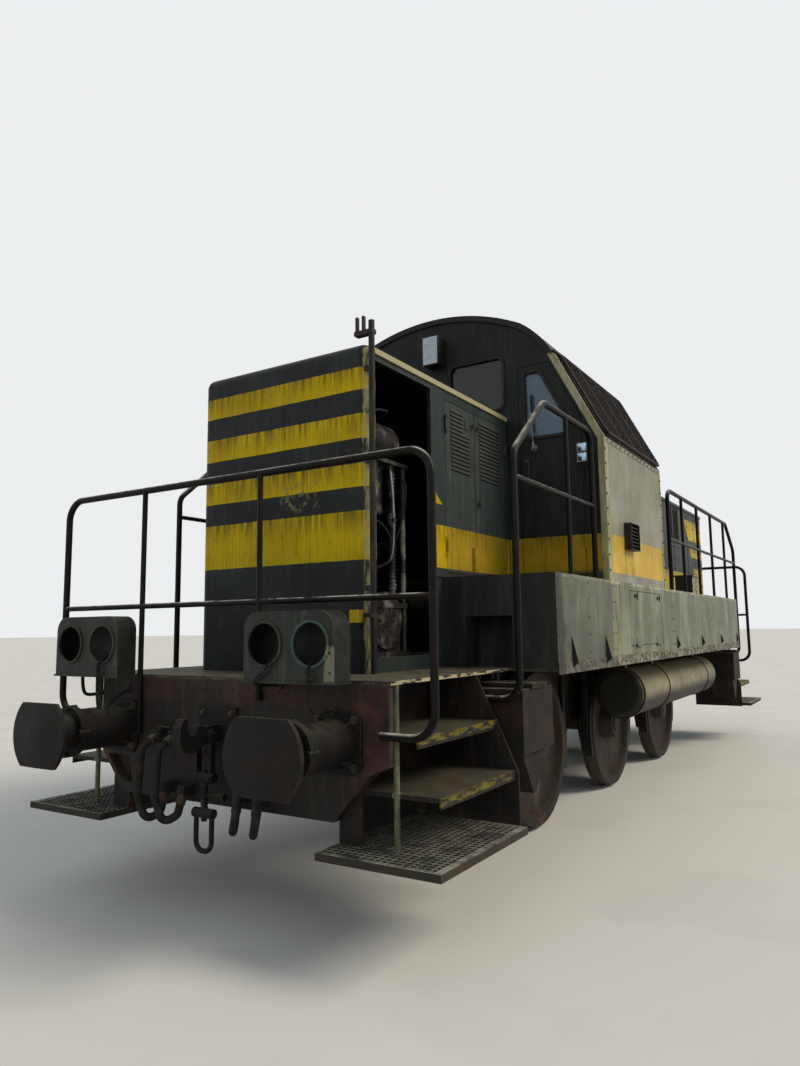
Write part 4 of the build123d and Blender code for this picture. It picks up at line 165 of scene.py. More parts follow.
def painted_region(tree, point, low, high, soft=0.003, ragged=0.0, grain=0.1):
    """1 inside a box between two corners, where paint or dirt lies.

    Its edge can be ragged, with a grain in metres.
    """
    middle = tuple((one + other) / 2 for one, other in zip(low, high))
    half = tuple((other - one) / 2 for one, other in zip(low, high))
    off = add(tree, "VectorMath", {0: point, 1: middle}, operation="SUBTRACT")
    off = add(tree, "VectorMath", {0: off}, operation="ABSOLUTE")
    off = add(tree, "VectorMath", {0: off, 1: half}, operation="SUBTRACT")
    along, across, up = [add(tree, "SeparateXYZ", {0: off}, axis) for axis in range(3)]
    outside = add(tree, "Math", {0: along, 1: across}, operation="MAXIMUM")
    outside = add(tree, "Math", {0: outside, 1: up}, operation="MAXIMUM")
    if ragged:
        noise = add(tree, "TexNoise", {"Vector": point, "Scale": 1 / grain, "Detail": 6.0})
        noise = add(tree, "Math", {0: noise, 1: 0.5}, operation="SUBTRACT")
        outside = add(tree, "Math", {0: noise, 1: 2 * ragged, 2: outside}, operation="MULTIPLY_ADD")
    return add(
        tree, "MapRange", {"Value": outside, "From Min": soft, "From Max": -soft},
        interpolation_type="SMOOTHSTEP")


def facing(tree, axis, low, high, most=1.0, least=0.0, either_way=True, blend="SMOOTHSTEP"):
    """How far a face looks along an axis: from least, at a low share of its normal, to most at a high one."""
    share = add(tree, "SeparateXYZ", {0: add(tree, "TexCoord", output="Normal")}, axis)
    if either_way:
        share = add(tree, "Math", {0: share}, operation="ABSOLUTE")
    spans = {"Value": share, "From Min": low, "From Max": high, "To Min": least, "To Max": most}
    return add(tree, "MapRange", spans, interpolation_type=blend)


def outer_edges(tree, radius):
    """1 on outer edges, which wear first, and 0 on flat faces."""
    rounded = add(tree, "Bevel", {"Radius": radius}, samples=4)
    flat = add(tree, "NewGeometry", output="Normal")
    bend = add(tree, "VectorMath", {0: rounded, 1: flat}, "Value", operation="DOT_PRODUCT")
    return add(
        tree, "MapRange", {"Value": bend, "From Min": 0.985, "From Max": 0.88},
        interpolation_type="SMOOTHSTEP")


def coated(tree, colour, coat, *shares):
    """A coat of paint or dirt laid over a colour, as thick as all its shares together allow."""
    cover = shares[0]
    for share in shares[1:]:
        cover = add(tree, "Math", {0: cover, 1: share}, operation="MULTIPLY")
    return add(tree, "Mix", {0: cover, 6: colour, 7: coat}, 2, data_type="RGBA")


def weathered(tree, point, colour, streaks, chalk, rust, dust, seed):
    """What years outdoors do to paint: fading, rain streaks, chalky runs, rusty chips, dust on what faces up.

    Returns the colour, and where it is rust, which is rougher and stands proud.
    """
    colour = coated(tree, colour, GRIME_AND_SHADE, weather_patches(tree, point, 0.40, 0.35, 0.75, 0.30, seed))
    runs = weather_patches(tree, point, (0.05, 0.05, 0.34), 0.50, 0.76, chalk, seed + 3)
    colour = coated(tree, colour, SIDE_PALE, runs)
    rain = weather_patches(tree, point, (0.018, 0.018, 0.60), 0.50, 0.74, streaks, seed + 7, 6.0)
    colour = coated(tree, colour, GRIME_AND_SHADE, rain, facing(tree, "Z", 0.85, 0.5))
    chips = weather_patches(tree, point, 0.06, 0.42, 0.60, rust, seed + 13, 6.0)
    chips = add(tree, "Math", {0: outer_edges(tree, 0.008), 1: chips}, operation="MULTIPLY")
    spots = weather_patches(tree, point, 0.075, 0.645, 0.69, rust, seed + 11, 8.0)
    rusty = add(tree, "Math", {0: spots, 1: chips}, operation="MAXIMUM")
    shade = weather_patches(tree, point, 0.02, 0.45, 0.65, 1.0, seed + 17)
    colour = coated(tree, colour, coated(tree, RUST, RUST_PALE, shade), rusty)
    settled = weather_patches(tree, point, 0.25, -0.20, 0.95, dust, seed + 19)
    return coated(tree, colour, DUST, facing(tree, "Z", 0.5, 0.9, either_way=False), settled), rusty


def sheet_relief(tree, point, rusty):
    """Brushed enamel on sheet that isn't quite flat, with rust standing proud."""
    dents = weather_patches(tree, point, 0.30, 0.2, 0.8, 1.0, 5.0, 1.0)
    brushed = weather_patches(tree, point, 0.006, 0.3, 0.7, 0.12, 6.0)
    height = add(tree, "Math", {0: dents, 1: brushed}, operation="ADD")
    return add(tree, "Math", {0: rusty, 1: 0.5, 2: height}, operation="MULTIPLY_ADD")


def old_enamel(tree, point, colour, rusty, sound, rough, depth, specular=OLD_SPECULAR):
    """Finish enamel on sheet: one roughness where the coat is sound, another where it is rust."""
    roughness = add(tree, "MapRange", {"Value": rusty, "To Min": sound, "To Max": rough})
    surface(tree, colour, roughness, sheet_relief(tree, point, rusty), depth, Specular_IOR_Level=specular)


def yellow_bands(tree, point, colour, bands, where, yellow, stain, seed):
    """Yellow bands over the ground colour: dirt runs down from their top edges, and they are worn through.

    bands are heights above the rail, and where has the masks of each one: none where it runs all along.
    """
    fine = weather_patches(tree, point, (0.010, 0.010, 0.22), 0.42, 0.68, 0.22 * stain, seed + 21, 6.0)
    broad = weather_patches(tree, point, (0.030, 0.030, 0.30), 0.34, 0.66, 0.95 * stain, seed + 22)
    worn = weather_patches(tree, point, 0.022, 0.72, 0.66, 1.0, seed + 27, 8.0)
    height = add(tree, "SeparateXYZ", {0: point}, "Z")
    for (low, high), masks in zip(bands, where):
        inside = painted_region(
            tree, point, (-FAR, -FAR, RAIL + low), (FAR, FAR, RAIL + high), 0.002, 0.004)
        run_down = add(
            tree, "MapRange",
            {"Value": height, "From Min": RAIL + high - 0.15, "From Max": RAIL + high + 0.01})
        dirty = add(
            tree, "Math", {0: broad, 1: run_down, 2: fine}, operation="MULTIPLY_ADD", use_clamp=True)
        colour = coated(tree, colour, coated(tree, yellow, BAND_STAIN, dirty), inside, *masks, worn)
    return colour


def hood_enamel(tree, point, bands, cut, towards, front_x, half, top_z, seed):
    """Charcoal enamel on hood sheet with yellow bands round its end: dull, dark, stained from the top down,
    with painted sunlight making its sides lighter grey-green.

    The sheet's inner side is painted near black as the shade inside the hood, and the short hood's corner
    post is painted pale cream in patches as sunlight on it.
    """
    colour = coated(tree, CHARCOAL, CHARCOAL_FADED, weather_patches(tree, point, 0.5, 0.40, 0.75, 1.0, seed))
    # Faces that look sideways are painted lighter grey-green: painted sunlight on the hood's sides.
    colour = coated(tree, colour, DOOR_GREEN, facing(tree, "Y", 0.55, 0.98, 0.75))
    along, across, height = [add(tree, "SeparateXYZ", {0: point}, axis) for axis in range(3)]
    start, at_height, slope = cut
    line = add(
        tree, "Math", {0: height, 1: slope, 2: start - slope * (RAIL + at_height)}, operation="MULTIPLY_ADD")
    past = add(tree, "Math", {0: along, 1: line}, operation="SUBTRACT")
    near_end = add(tree, "MapRange", {"Value": past, "From Min": 0.0, "From Max": 0.008 * towards})
    colour = yellow_bands(
        tree, point, colour, [*bands, WAIST_BAND], [(near_end,)] * len(bands) + [()], BAND_YELLOW, 0.8, seed)
    colour, rusty = weathered(tree, point, colour, 0.35, 0.04, 0.18, 0.5, seed)
    if towards > 0:
        # Painted sunlight: the short hood's corner post is painted pale cream in patches.
        post = painted_region(
            tree, point, (4.375, 0.690, DECK_Z), (4.449, 0.760, top_z - 0.03), 0.006, 0.012, 0.05)
        sunlit_patches = weather_patches(tree, point, (0.03, 0.03, 0.12), 0.35, 0.60, 0.70, 3.3, 6.0)
        colour = coated(tree, colour, POST_CREAM, post, sunlit_patches)
        strip = painted_region(
            tree, point, (2.3, 0.731, top_z - 0.080), (4.40, 0.760, top_z - 0.020), 0.002, 0.003)
        colour = coated(tree, colour, POST_CREAM, strip)
        scar = painted_region(
            tree, point, (4.44, 0.02, RAIL + 2.45), (4.46, 0.33, RAIL + 2.60), 0.030, 0.080, 0.07)
        flakes = weather_patches(tree, point, 0.030, 0.50, 0.58, 0.9, 8.1, 6.0)
        colour = coated(tree, colour, "#6b6f4c", scar, flakes)
    across = add(tree, "Math", {0: across}, operation="ABSOLUTE")
    out_side = add(tree, "Math", {0: across, 1: half}, operation="SUBTRACT")
    out_end = add(tree, "Math", {0: along, 1: towards, 2: -front_x * towards}, operation="MULTIPLY_ADD")
    out_top = add(tree, "Math", {0: height, 1: top_z}, operation="SUBTRACT")
    outside = add(tree, "Math", {0: out_side, 1: out_end}, operation="MAXIMUM")
    outside = add(tree, "Math", {0: outside, 1: out_top}, operation="MAXIMUM")
    # Painted shade: the hood sheet's inner side is painted near black.
    inner = add(
        tree, "MapRange", {"Value": outside, "From Min": 0.0003 - HOOD_WALL, "From Max": 0.00005 - HOOD_WALL})
    colour = coated(tree, colour, GRIME_AND_SHADE, inner)
    old_enamel(tree, point, colour, rusty, 0.48, 0.85, 0.0015, 0.12)


def door_enamel(tree, point, seed):
    """Grey-green enamel on the hood doors, a little chalky, with the waist band running across them in a
    yellow of painted shade.
    """
    colour = coated(tree, DOOR_GREEN, "#4a5350", weather_patches(tree, point, 0.45, 0.45, 0.75, 0.35, seed))
    colour = yellow_bands(tree, point, colour, [WAIST_BAND], [()], BAND_YELLOW_SHADED, 0.55, seed)
    colour, rusty = weathered(tree, point, colour, 0.40, 0.10, 0.45, 0.6, seed)
    old_enamel(tree, point, colour, rusty, 0.52, 0.9, 0.0012)


def cab_side_enamel(tree, point, seed):
    """Sun-bleached beige cab sides with the waist band in a yellow of painted sunlight, mossy end strips and
    a dark leaning wall.
    """
    colour = coated(tree, CAB_BEIGE, SIDE_PALE, weather_patches(tree, point, 0.45, 0.42, 0.75, 0.45, seed))
    colour = yellow_bands(tree, point, colour, [WAIST_BAND], [()], BAND_YELLOW_SUNNY, 0.45, seed)
    strip_spans = [(CAB_REAR_X - 0.010, CAB_REAR_X + 0.060), (CAB_FRONT_X - 0.105, CAB_FRONT_X + 0.010)]
    strips = [
        painted_region(tree, point, (start, -FAR, 0), (end, FAR, EAVE_Z), 0.012, 0.030, 0.06)
        for start, end in strip_spans
    ]
    trims = [
        painted_region(tree, point, (start, -FAR, EAVE_Z), (start + 0.040, FAR, FAR), 0.004, 0.006, 0.04)
        for start in (CAB_REAR_X - 0.004, CAB_FRONT_X - 0.036)
    ]
    ends = add(tree, "Math", {0: strips[0], 1: strips[1]}, operation="MAXIMUM")
    trim = add(tree, "Math", {0: trims[0], 1: trims[1]}, operation="MAXIMUM")
    ends = add(tree, "Math", {0: trim, 1: 0.75, 2: ends}, operation="MULTIPLY_ADD", use_clamp=True)
    mossy = weather_patches(tree, point, (0.05, 0.05, 0.25), 0.35, 0.65, 0.85, seed + 1, 6.0)
    colour = coated(tree, colour, coated(tree, TRIM_CREAM, MOSS_YELLOW, mossy), ends)
    above = painted_region(
        tree, point, (0, -FAR, EAVE_Z + 0.01), (CAB_FRONT_X - 0.036, FAR, FAR), 0.006)
    colour = coated(tree, colour, ROOF_DARK, above)
    round_vent = painted_region(
        tree, point, (1.60, -FAR, RAIL + 2.06), (1.89, FAR, RAIL + 2.33), 0.020, 0.030, 0.03)
    vent_runs = weather_patches(tree, point, (0.014, 0.014, 0.40), 0.45, 0.62, 1.0, seed + 5, 5.0)
    colour = coated(tree, colour, RUST, round_vent, 0.75, vent_runs)
    colour, rusty = weathered(tree, point, colour, 0.22, 0.22, 0.35, 0.5, seed)
    room = painted_region(
        tree, point, (CAB_REAR_X, -BODY_HALF + 0.045, 0), (CAB_FRONT_X, BODY_HALF - 0.045, EAVE_Z), 0.001)
    colour = coated(tree, colour, INNER_GREY, room)
    old_enamel(tree, point, colour, rusty, 0.50, 0.9, 0.0015)


def cab_end_enamel(tree, point, seed):
    """Charcoal enamel on the cab's ends, nearly black in the shade, with the waist band beside the hoods in a
    yellow of painted shade.
    """
    colour = coated(tree, "#191b1c", "#242727", weather_patches(tree, point, 0.5, 0.40, 0.75, 0.8, seed))
    along, across = [add(tree, "SeparateXYZ", {0: point}, axis) for axis in range(2)]
    across = add(tree, "Math", {0: across}, operation="ABSOLUTE")
    on_outer_faces = []
    for wall_x, inwards, hood_half in ((CAB_FRONT_X, -1, SHORT_HOOD_HALF), (CAB_REAR_X, 1, LONG_HOOD_HALF)):
        outer_face = add(
            tree, "MapRange",
            {"Value": along, "From Min": wall_x + 0.004 * inwards, "From Max": wall_x + 0.002 * inwards})
        beside_hood = add(
            tree, "MapRange", {"Value": across, "From Min": hood_half + 0.004, "From Max": hood_half + 0.006})
        on_outer_faces.append(
            add(tree, "Math", {0: outer_face, 1: beside_hood}, operation="MULTIPLY"))
    beside = add(tree, "Math", {0: on_outer_faces[0], 1: on_outer_faces[1]}, operation="MAXIMUM")
    colour = yellow_bands(tree, point, colour, [WAIST_BAND], [(beside,)], BAND_YELLOW_SHADED, 0.65, seed)
    foot = painted_region(
        tree, point, (-FAR, -FAR, BOX_TOP_Z), (FAR, FAR, RAIL + 2.100), 0.012, 0.012, 0.05)
    colour = coated(tree, colour, "#4a4a33", foot, 0.7)
    colour, rusty = weathered(tree, point, colour, 0.35, 0.04, 0.16, 0.5, seed)
    old_enamel(tree, point, colour, rusty, 0.50, 0.88, 0.0015, 0.15)


def side_box_enamel(tree, point, seed):
    """Olive-grey enamel on the side boxes: bleached in runs and rusting along the foot, with painted shade on
    their ends and inside.
    """
    faded = weather_patches(tree, point, (0.30, 0.30, 0.60), 0.40, 0.72, 0.55, seed)
    colour = coated(tree, SIDE_OLIVE, SIDE_PALE, faded)
    shade = weather_patches(tree, point, (0.16, 0.16, 0.55), 0.52, 0.70, 0.45, seed + 2)
    colour = coated(tree, colour, "#45483f", shade)
    seam = painted_region(tree, point, (1.95, -FAR, SKIRT_FOOT_Z), (2.30, FAR, FAR), 0.020, 0.05, 0.10)
    mossy = weather_patches(tree, point, (0.05, 0.05, 0.30), 0.42, 0.60, 0.7, seed + 4, 6.0)
    colour = coated(tree, colour, "#9a9a72", seam, mossy)
    foot = painted_region(tree, point, (-FAR, -FAR, 0), (FAR, FAR, RAIL + 1.416), 0.004, 0.016, 0.06)
    peeled = weather_patches(tree, point, (0.22, 0.22, 0.035), 0.38, 0.50, 0.90, seed + 6, 7.0)
    under = coated(tree, "#2c241c", "#8f8768", weather_patches(tree, point, 0.05, 0.50, 0.62, 1.0, seed + 8))
    colour = coated(tree, colour, under, foot, peeled)
    ledge = painted_region(
        tree, point, (-FAR, -FAR, BOX_TOP_Z - 0.022), (FAR, FAR, FAR), 0.003, 0.014, 0.05)
    flaked = weather_patches(tree, point, (0.10, 0.10, 0.03), 0.44, 0.54, 0.8, seed + 9, 7.0)
    colour = coated(tree, colour, "#b4b096", ledge, flaked)
    greyer = painted_region(tree, point, (2.30, -FAR, 0), (FAR, FAR, FAR), 0.040, 0.05, 0.30)
    colour = coated(tree, colour, "#4a4c46", greyer, 0.55)
    corner = painted_region(tree, point, (3.395, -FAR, 0), (FAR, FAR, FAR), 0.030, 0.120, 0.30)
    colour = coated(tree, colour, "#23241f", corner, 0.85)
    colour, rusty = weathered(tree, point, colour, 0.40, 0.22, 0.5, 0.75, seed)
    # Painted shade: faces looking along the locomotive and the faces inside the boxes are painted near black,
    # mottled.
    within = painted_region(
        tree, point, (-FAR, -BODY_HALF + 0.006, 0), (FAR, BODY_HALF - 0.006, BOX_TOP_Z - 0.004), 0.0005)
    shaded = add(tree, "Math", {0: facing(tree, "X", 0.5, 0.85), 1: within}, operation="MAXIMUM")
    shade_mottle = weather_patches(tree, point, (0.10, 0.10, 0.40), 0.40, 0.75, 1.0, seed + 14)
    colour = coated(tree, colour, coated(tree, "#1f1f1d", "#33342f", shade_mottle), shaded)
    old_enamel(tree, point, colour, rusty, 0.55, 0.9, 0.0018)


def lamp_box_enamel(tree, point, seed):
    """Dark green-grey enamel on the lamp boxes, with a pale scar, one ring still blue-green, and painted
    shade inside.
    """
    colour = coated(tree, "#272b26", "#353a34", weather_patches(tree, point, 0.20, 0.40, 0.70, 0.6, seed))
    ring = painted_region(
        tree, point, (BEAM_X + 0.2085, 0.72, RAIL + 1.44), (BEAM_X + 0.22, 0.99, RAIL + 1.71), 0.0008)
    colour = coated(tree, colour, "#47645d", ring, 0.55)
    scar = painted_region(
        tree, point, (BEAM_X + 0.19, 0.945, DECK_Z), (BEAM_X + 0.22, 1.02, RAIL + 1.56), 0.008, 0.022, 0.05)
    colour = coated(tree, colour, "#8b8a72", scar, 0.8)
    colour, rusty = weathered(tree, point, colour, 0.45, 0.10, 0.4, 0.6, seed)
    # Painted shade inside the box: near black, with patches of painted light a little paler.
    inner = painted_region(tree, point, (BEAM_X + 0.069, -FAR, 0), (BEAM_X + 0.202, FAR, FAR), 0.0008)
    lit = weather_patches(tree, point, 0.05, 0.3, 0.7, 1.0, seed + 5)
    colour = coated(tree, colour, coated(tree, NEARLY_BLACK, "#232620", lit), inner)
    old_enamel(tree, point, colour, rusty, 0.55, 0.9, 0.0010)


def plain_enamel(tree, point, ground, faded_to, streaks, chalk, rust, dust, seed):
    """One coat of old enamel, faded in patches, for the roof, desk, vents and lamp cases."""
    faded = weather_patches(tree, point, (0.35, 0.35, 0.20), 0.42, 0.72, 0.8, seed)
    colour = coated(tree, ground, faded_to, faded)
    colour, rusty = weathered(tree, point, colour, streaks, chalk, rust, dust, seed)
    old_enamel(tree, point, colour, rusty, 0.52, 0.9, 0.0012)


def beam_enamel(tree, point, seed):
    """Buffer-beam red gone to black-brown grime, still dull red along its top and outer guard plates."""
    both = add(tree, "VectorMath", {0: point}, operation="ABSOLUTE")
    top = painted_region(
        tree, both, (4.9, -FAR, RAIL + 1.22), (5.0, FAR, RAIL + 1.40), 0.02, 0.05, 0.20)
    outer = painted_region(
        tree, both, (4.9, 0.98, 0.0), (5.0, FAR, RAIL + 1.25), 0.03, 0.08, 0.20)
    top = add(tree, "Math", {0: top, 1: 0.38}, operation="MULTIPLY")
    red = add(tree, "Math", {0: top, 1: outer}, operation="MAXIMUM")
    kept = weather_patches(tree, point, 0.14, 0.34, 0.60, 0.9, seed)
    colour = coated(tree, BEAM_BROWN, BEAM_RED, red, kept)
    colour, rusty = weathered(tree, point, colour, 0.6, 0.04, 0.45, 0.5, seed)
    old_enamel(tree, point, colour, rusty, 0.60, 0.9, 0.0015)


def tank_enamel(tree, point, seed):
    """Dun enamel on tanks: bleached and cracked above, with painted shade darkening their undersides and
    ends.
    """
    faded = weather_patches(tree, point, (0.35, 0.35, 0.20), 0.42, 0.72, 0.8, seed)
    colour = coated(tree, TANK_DUN, "#9a9373", faded)
    colour, rusty = weathered(tree, point, colour, 0.45, 0.15, 0.6, 0.6, seed)
    # Painted shade on the faces that look down and on the ends.
    below = facing(tree, "Z", 0.10, -0.45, 0.93, either_way=False)
    ends = facing(tree, "X", 0.25, 0.75, 0.93)
    painted_shade_below_and_ends = add(tree, "Math", {0: below, 1: ends}, operation="MAXIMUM")
    colour = coated(tree, colour, GRIME_AND_SHADE, painted_shade_below_and_ends)
    old_enamel(tree, point, colour, rusty, 0.52, 0.9, 0.0012)


def mast_enamel(tree, point, seed):
    """The signal mast's black paint, rubbed and rusting, with a yellow junction box at its foot."""
    colour = coated(tree, "#121212", RUST, weather_patches(tree, point, 0.10, 0.45, 0.70, 0.35, seed))
    box = painted_region(tree, point, JUNCTION_LOW, JUNCTION_HIGH, 0.0015)
    colour = coated(tree, colour, "#c9a80a", box)
    colour, rusty = weathered(tree, point, colour, 0.30, 0.10, 0.40, 0.4, seed)
    surface(tree, colour, 0.5, sheet_relief(tree, point, rusty), 0.0008)


def step_steel(tree, point, seed):
    """Painted plate of the corner steps: black-brown, with yellow left on the nosings and a mossy pole."""
    colour = coated(tree, "#1b1a18", RUST, weather_patches(tree, point, 0.18, 0.42, 0.70, 0.35, seed))
    both = add(tree, "VectorMath", {0: point}, operation="ABSOLUTE")
    worn = weather_patches(tree, point, (0.12, 0.05, 0.03), 0.40, 0.56, 0.9, seed + 3, 6.0)
    # columns: height of the tread's top above the rail, how far it reaches out
    for top, reach in [(0.806, 1.470), (1.091, 1.340)]:
        nosing = painted_region(
            tree, both, (3.95, reach - 0.0105, RAIL + top - 0.040), (4.95, reach + 0.01, RAIL + top + 0.002),
            0.002, 0.010, 0.05)
        colour = coated(tree, colour, "#75691f", nosing, worn)
    pole = painted_region(tree, both, (4.87, 1.18, 0.5), (4.93, 1.23, 1.5), 0.002)
    mossy = weather_patches(tree, point, (0.05, 0.05, 0.12), 0.35, 0.65, 1.0, seed + 5, 5.0)
    colour = coated(tree, colour, coated(tree, "#4d4f3e", "#74775a", mossy), pole)
    colour, _ = weathered(tree, point, colour, 0.4, 0.05, 0.4, 0.25, seed)
    scale = weather_patches(tree, point, 0.012, 0.3, 0.7, 1.0, seed + 10, 6.0)
    surface(tree, colour, 0.7, scale, 0.0010)


def rusty_steel(
        tree, point, ground, rust, dust, roughness, seed, grain=0.012, depth=0.0012, top=DUST, metallic=0.0,
        specular=OLD_SPECULAR):
    """Bare or thinly painted steel and castings: dark scale, some warm rust, bright edges and dusty tops; the
    handrails' pale tops are a painted highlight.
    """
    colour = coated(tree, ground, RUST, weather_patches(tree, point, 0.16, 0.42, 0.68, rust, seed))
    spots = weather_patches(tree, point, 0.03, 0.58, 0.72, 0.7 * rust, seed + 2, 7.0)
    colour = coated(tree, colour, RUST_PALE, spots)
    oil = weather_patches(tree, point, 0.25, 0.45, 0.75, 0.6, seed + 4)
    colour = coated(tree, colour, GRIME_AND_SHADE, oil)
    rubbed = weather_patches(tree, point, 0.05, 0.40, 0.60, 0.22, seed + 6)
    colour = coated(tree, colour, BARE_STEEL, outer_edges(tree, 0.006), rubbed)
    # Paler top faces: settled dust, and on the handrails a painted highlight of the sun.
    settled = weather_patches(tree, point, 0.08, 0.30, 0.62, dust, seed + 8)
    colour = coated(tree, colour, top, facing(tree, "Z", 0.4, 0.9, either_way=False), settled)
    scale = weather_patches(tree, point, grain, 0.3, 0.7, 1.0, seed + 10, 6.0)
    surface(tree, colour, roughness, scale, depth, Metallic=metallic, Specular_IOR_Level=specular)


def chequer_plate(tree, point):
    """Rolled chequer plate: raised lozenges in two directions, paler on their tops, with peeled edges."""
    lozenges = []
    for turn in (45, -45):
        scale = (1 / 0.030, 1 / 0.014, 1.0)
        placed = add(
            tree, "Mapping", {"Vector": point, "Rotation": (0, 0, math.radians(turn)), "Scale": scale})
        along, across = [add(tree, "SeparateXYZ", {0: placed}, axis) for axis in range(2)]
        along = add(tree, "Math", {0: along, 1: 1.0}, operation="PINGPONG")
        across = add(tree, "Math", {0: across, 1: 1.0}, operation="PINGPONG")
        along = add(tree, "MapRange", {"Value": along, "From Min": 0.35, "From Max": 0.65})
        across = add(tree, "MapRange", {"Value": across, "From Min": 0.45, "From Max": 0.75})
        lozenges.append(add(tree, "Math", {0: along, 1: across}, operation="MULTIPLY"))
    raised = add(tree, "Math", {0: lozenges[0], 1: lozenges[1]}, operation="MAXIMUM")
    colour = coated(tree, "#24221e", "#45423a", raised)
    colour = coated(tree, colour, DUST, weather_patches(tree, point, 0.25, 0.05, 0.95, 0.5))
    colour = coated(tree, colour, RUST, weather_patches(tree, point, 0.09, 0.50, 0.70, 0.6, 4.0))
    rim = facing(tree, "Z", 0.6, 0.3, blend="LINEAR")
    sideways = facing(tree, "Y", 0.4, 0.8, least=0.12, blend="LINEAR")
    peel = weather_patches(tree, point, (0.10, 0.10, 0.02), 0.40, 0.52, 1.0, 6.0, 7.0)
    colour = coated(tree, colour, coated(tree, "#2a2620", "#a89f7c", peel, sideways), rim)
    surface(tree, colour, 0.7, raised, 0.0015)


def dusty_glass(tree, point):
    """Old float glass: bluish and streaked with dried rain, and sooty over the hoods, in the exhaust."""
    across = add(tree, "SeparateXYZ", {0: point}, "Y")
    across = add(tree, "Math", {0: across}, operation="ABSOLUTE")
    sooty = add(tree, "MapRange", {"Value": across, "From Min": 0.84, "From Max": 0.80})
    film = weather_patches(tree, point, (0.03, 0.03, 0.22), 0.35, 0.75, 1.0, 2.0, 6.0)
    colour = coated(tree, GLASS_TINT, "#8fa6b5", film, 0.40)
    colour = coated(tree, colour, "#15181a", sooty)
    roughness = add(tree, "MapRange", {"Value": film, "To Min": 0.05, "To Max": 0.30})
    clear = add(tree, "MapRange", {"Value": sooty, "To Min": 0.68, "To Max": 0.85})
    surface(tree, colour, roughness, Transmission_Weight=clear, IOR=1.5, Specular_IOR_Level=0.5)


def moulded_rubber(tree, point):
    """Weathered hose and seal rubber: black gone grey, matt, with fine cracks."""
    colour = coated(tree, "#161514", "#312f2c", weather_patches(tree, point, 0.05, 0.40, 0.75))
    surface(tree, colour, 0.8, weather_patches(tree, point, 0.004, 0.4, 0.6, 1.0, 3.0), 0.0004)


def wheel_steel(tree, point):
    """Rolled wheel steel: dark brown web and rim under oil and brake dust, with a tread that has dulled."""
    colour = coated(tree, "#3f3b36", "#221f1c", facing(tree, "Y", 0.2, 0.6, blend="LINEAR"))
    colour = coated(tree, colour, RUST, weather_patches(tree, point, 0.14, 0.40, 0.70, 0.45))
    colour = coated(tree, colour, DUST, weather_patches(tree, point, 0.30, 0.50, 0.80, 0.25, 4.0))
    scale = weather_patches(tree, point, 0.010, 0.3, 0.7, 1.0, 3.0)
    surface(tree, colour, 0.62, scale, 0.0008, Metallic=0.3)


def oily_machinery(tree, point):
    """Cast and machined parts of a compressor under oil and dust: black-brown with dull bright places."""
    colour = coated(tree, "#2a2a28", "#7d7a72", weather_patches(tree, point, 0.12, 0.46, 0.68))
    colour = coated(tree, colour, RUST, weather_patches(tree, point, 0.07, 0.50, 0.70, 0.45, 3.0))
    colour = coated(tree, colour, GRIME_AND_SHADE, weather_patches(tree, point, 0.20, 0.38, 0.62, 0.85, 5.0))
    scale = weather_patches(tree, point, 0.008, 0.3, 0.7, 1.0, 7.0)
    surface(tree, colour, 0.45, scale, 0.0008, Metallic=0.3)


def mirror_glass(tree, point, bright, dull):
    """Silvered glass of a mirror or a lamp, tinted by the sky it shows, with dull blooms."""
    bloom = weather_patches(tree, point, 0.02, 0.45, 0.70, 0.5, 1.0)
    roughness = add(tree, "MapRange", {"Value": bloom, "To Min": 0.12, "To Max": 0.45})
    surface(tree, coated(tree, bright, dull, bloom), roughness, Metallic=1.0)


def seat_vinyl(tree, point):
    """Buttoned black vinyl, creased and shiny where it is sat on."""
    colour = coated(tree, "#1d1c1d", "#333133", weather_patches(tree, point, 0.12, 0.40, 0.70))
    surface(tree, colour, 0.42, weather_patches(tree, point, 0.006, 0.35, 0.65, 1.0, 2.0), 0.0005)


FINISHES = {}
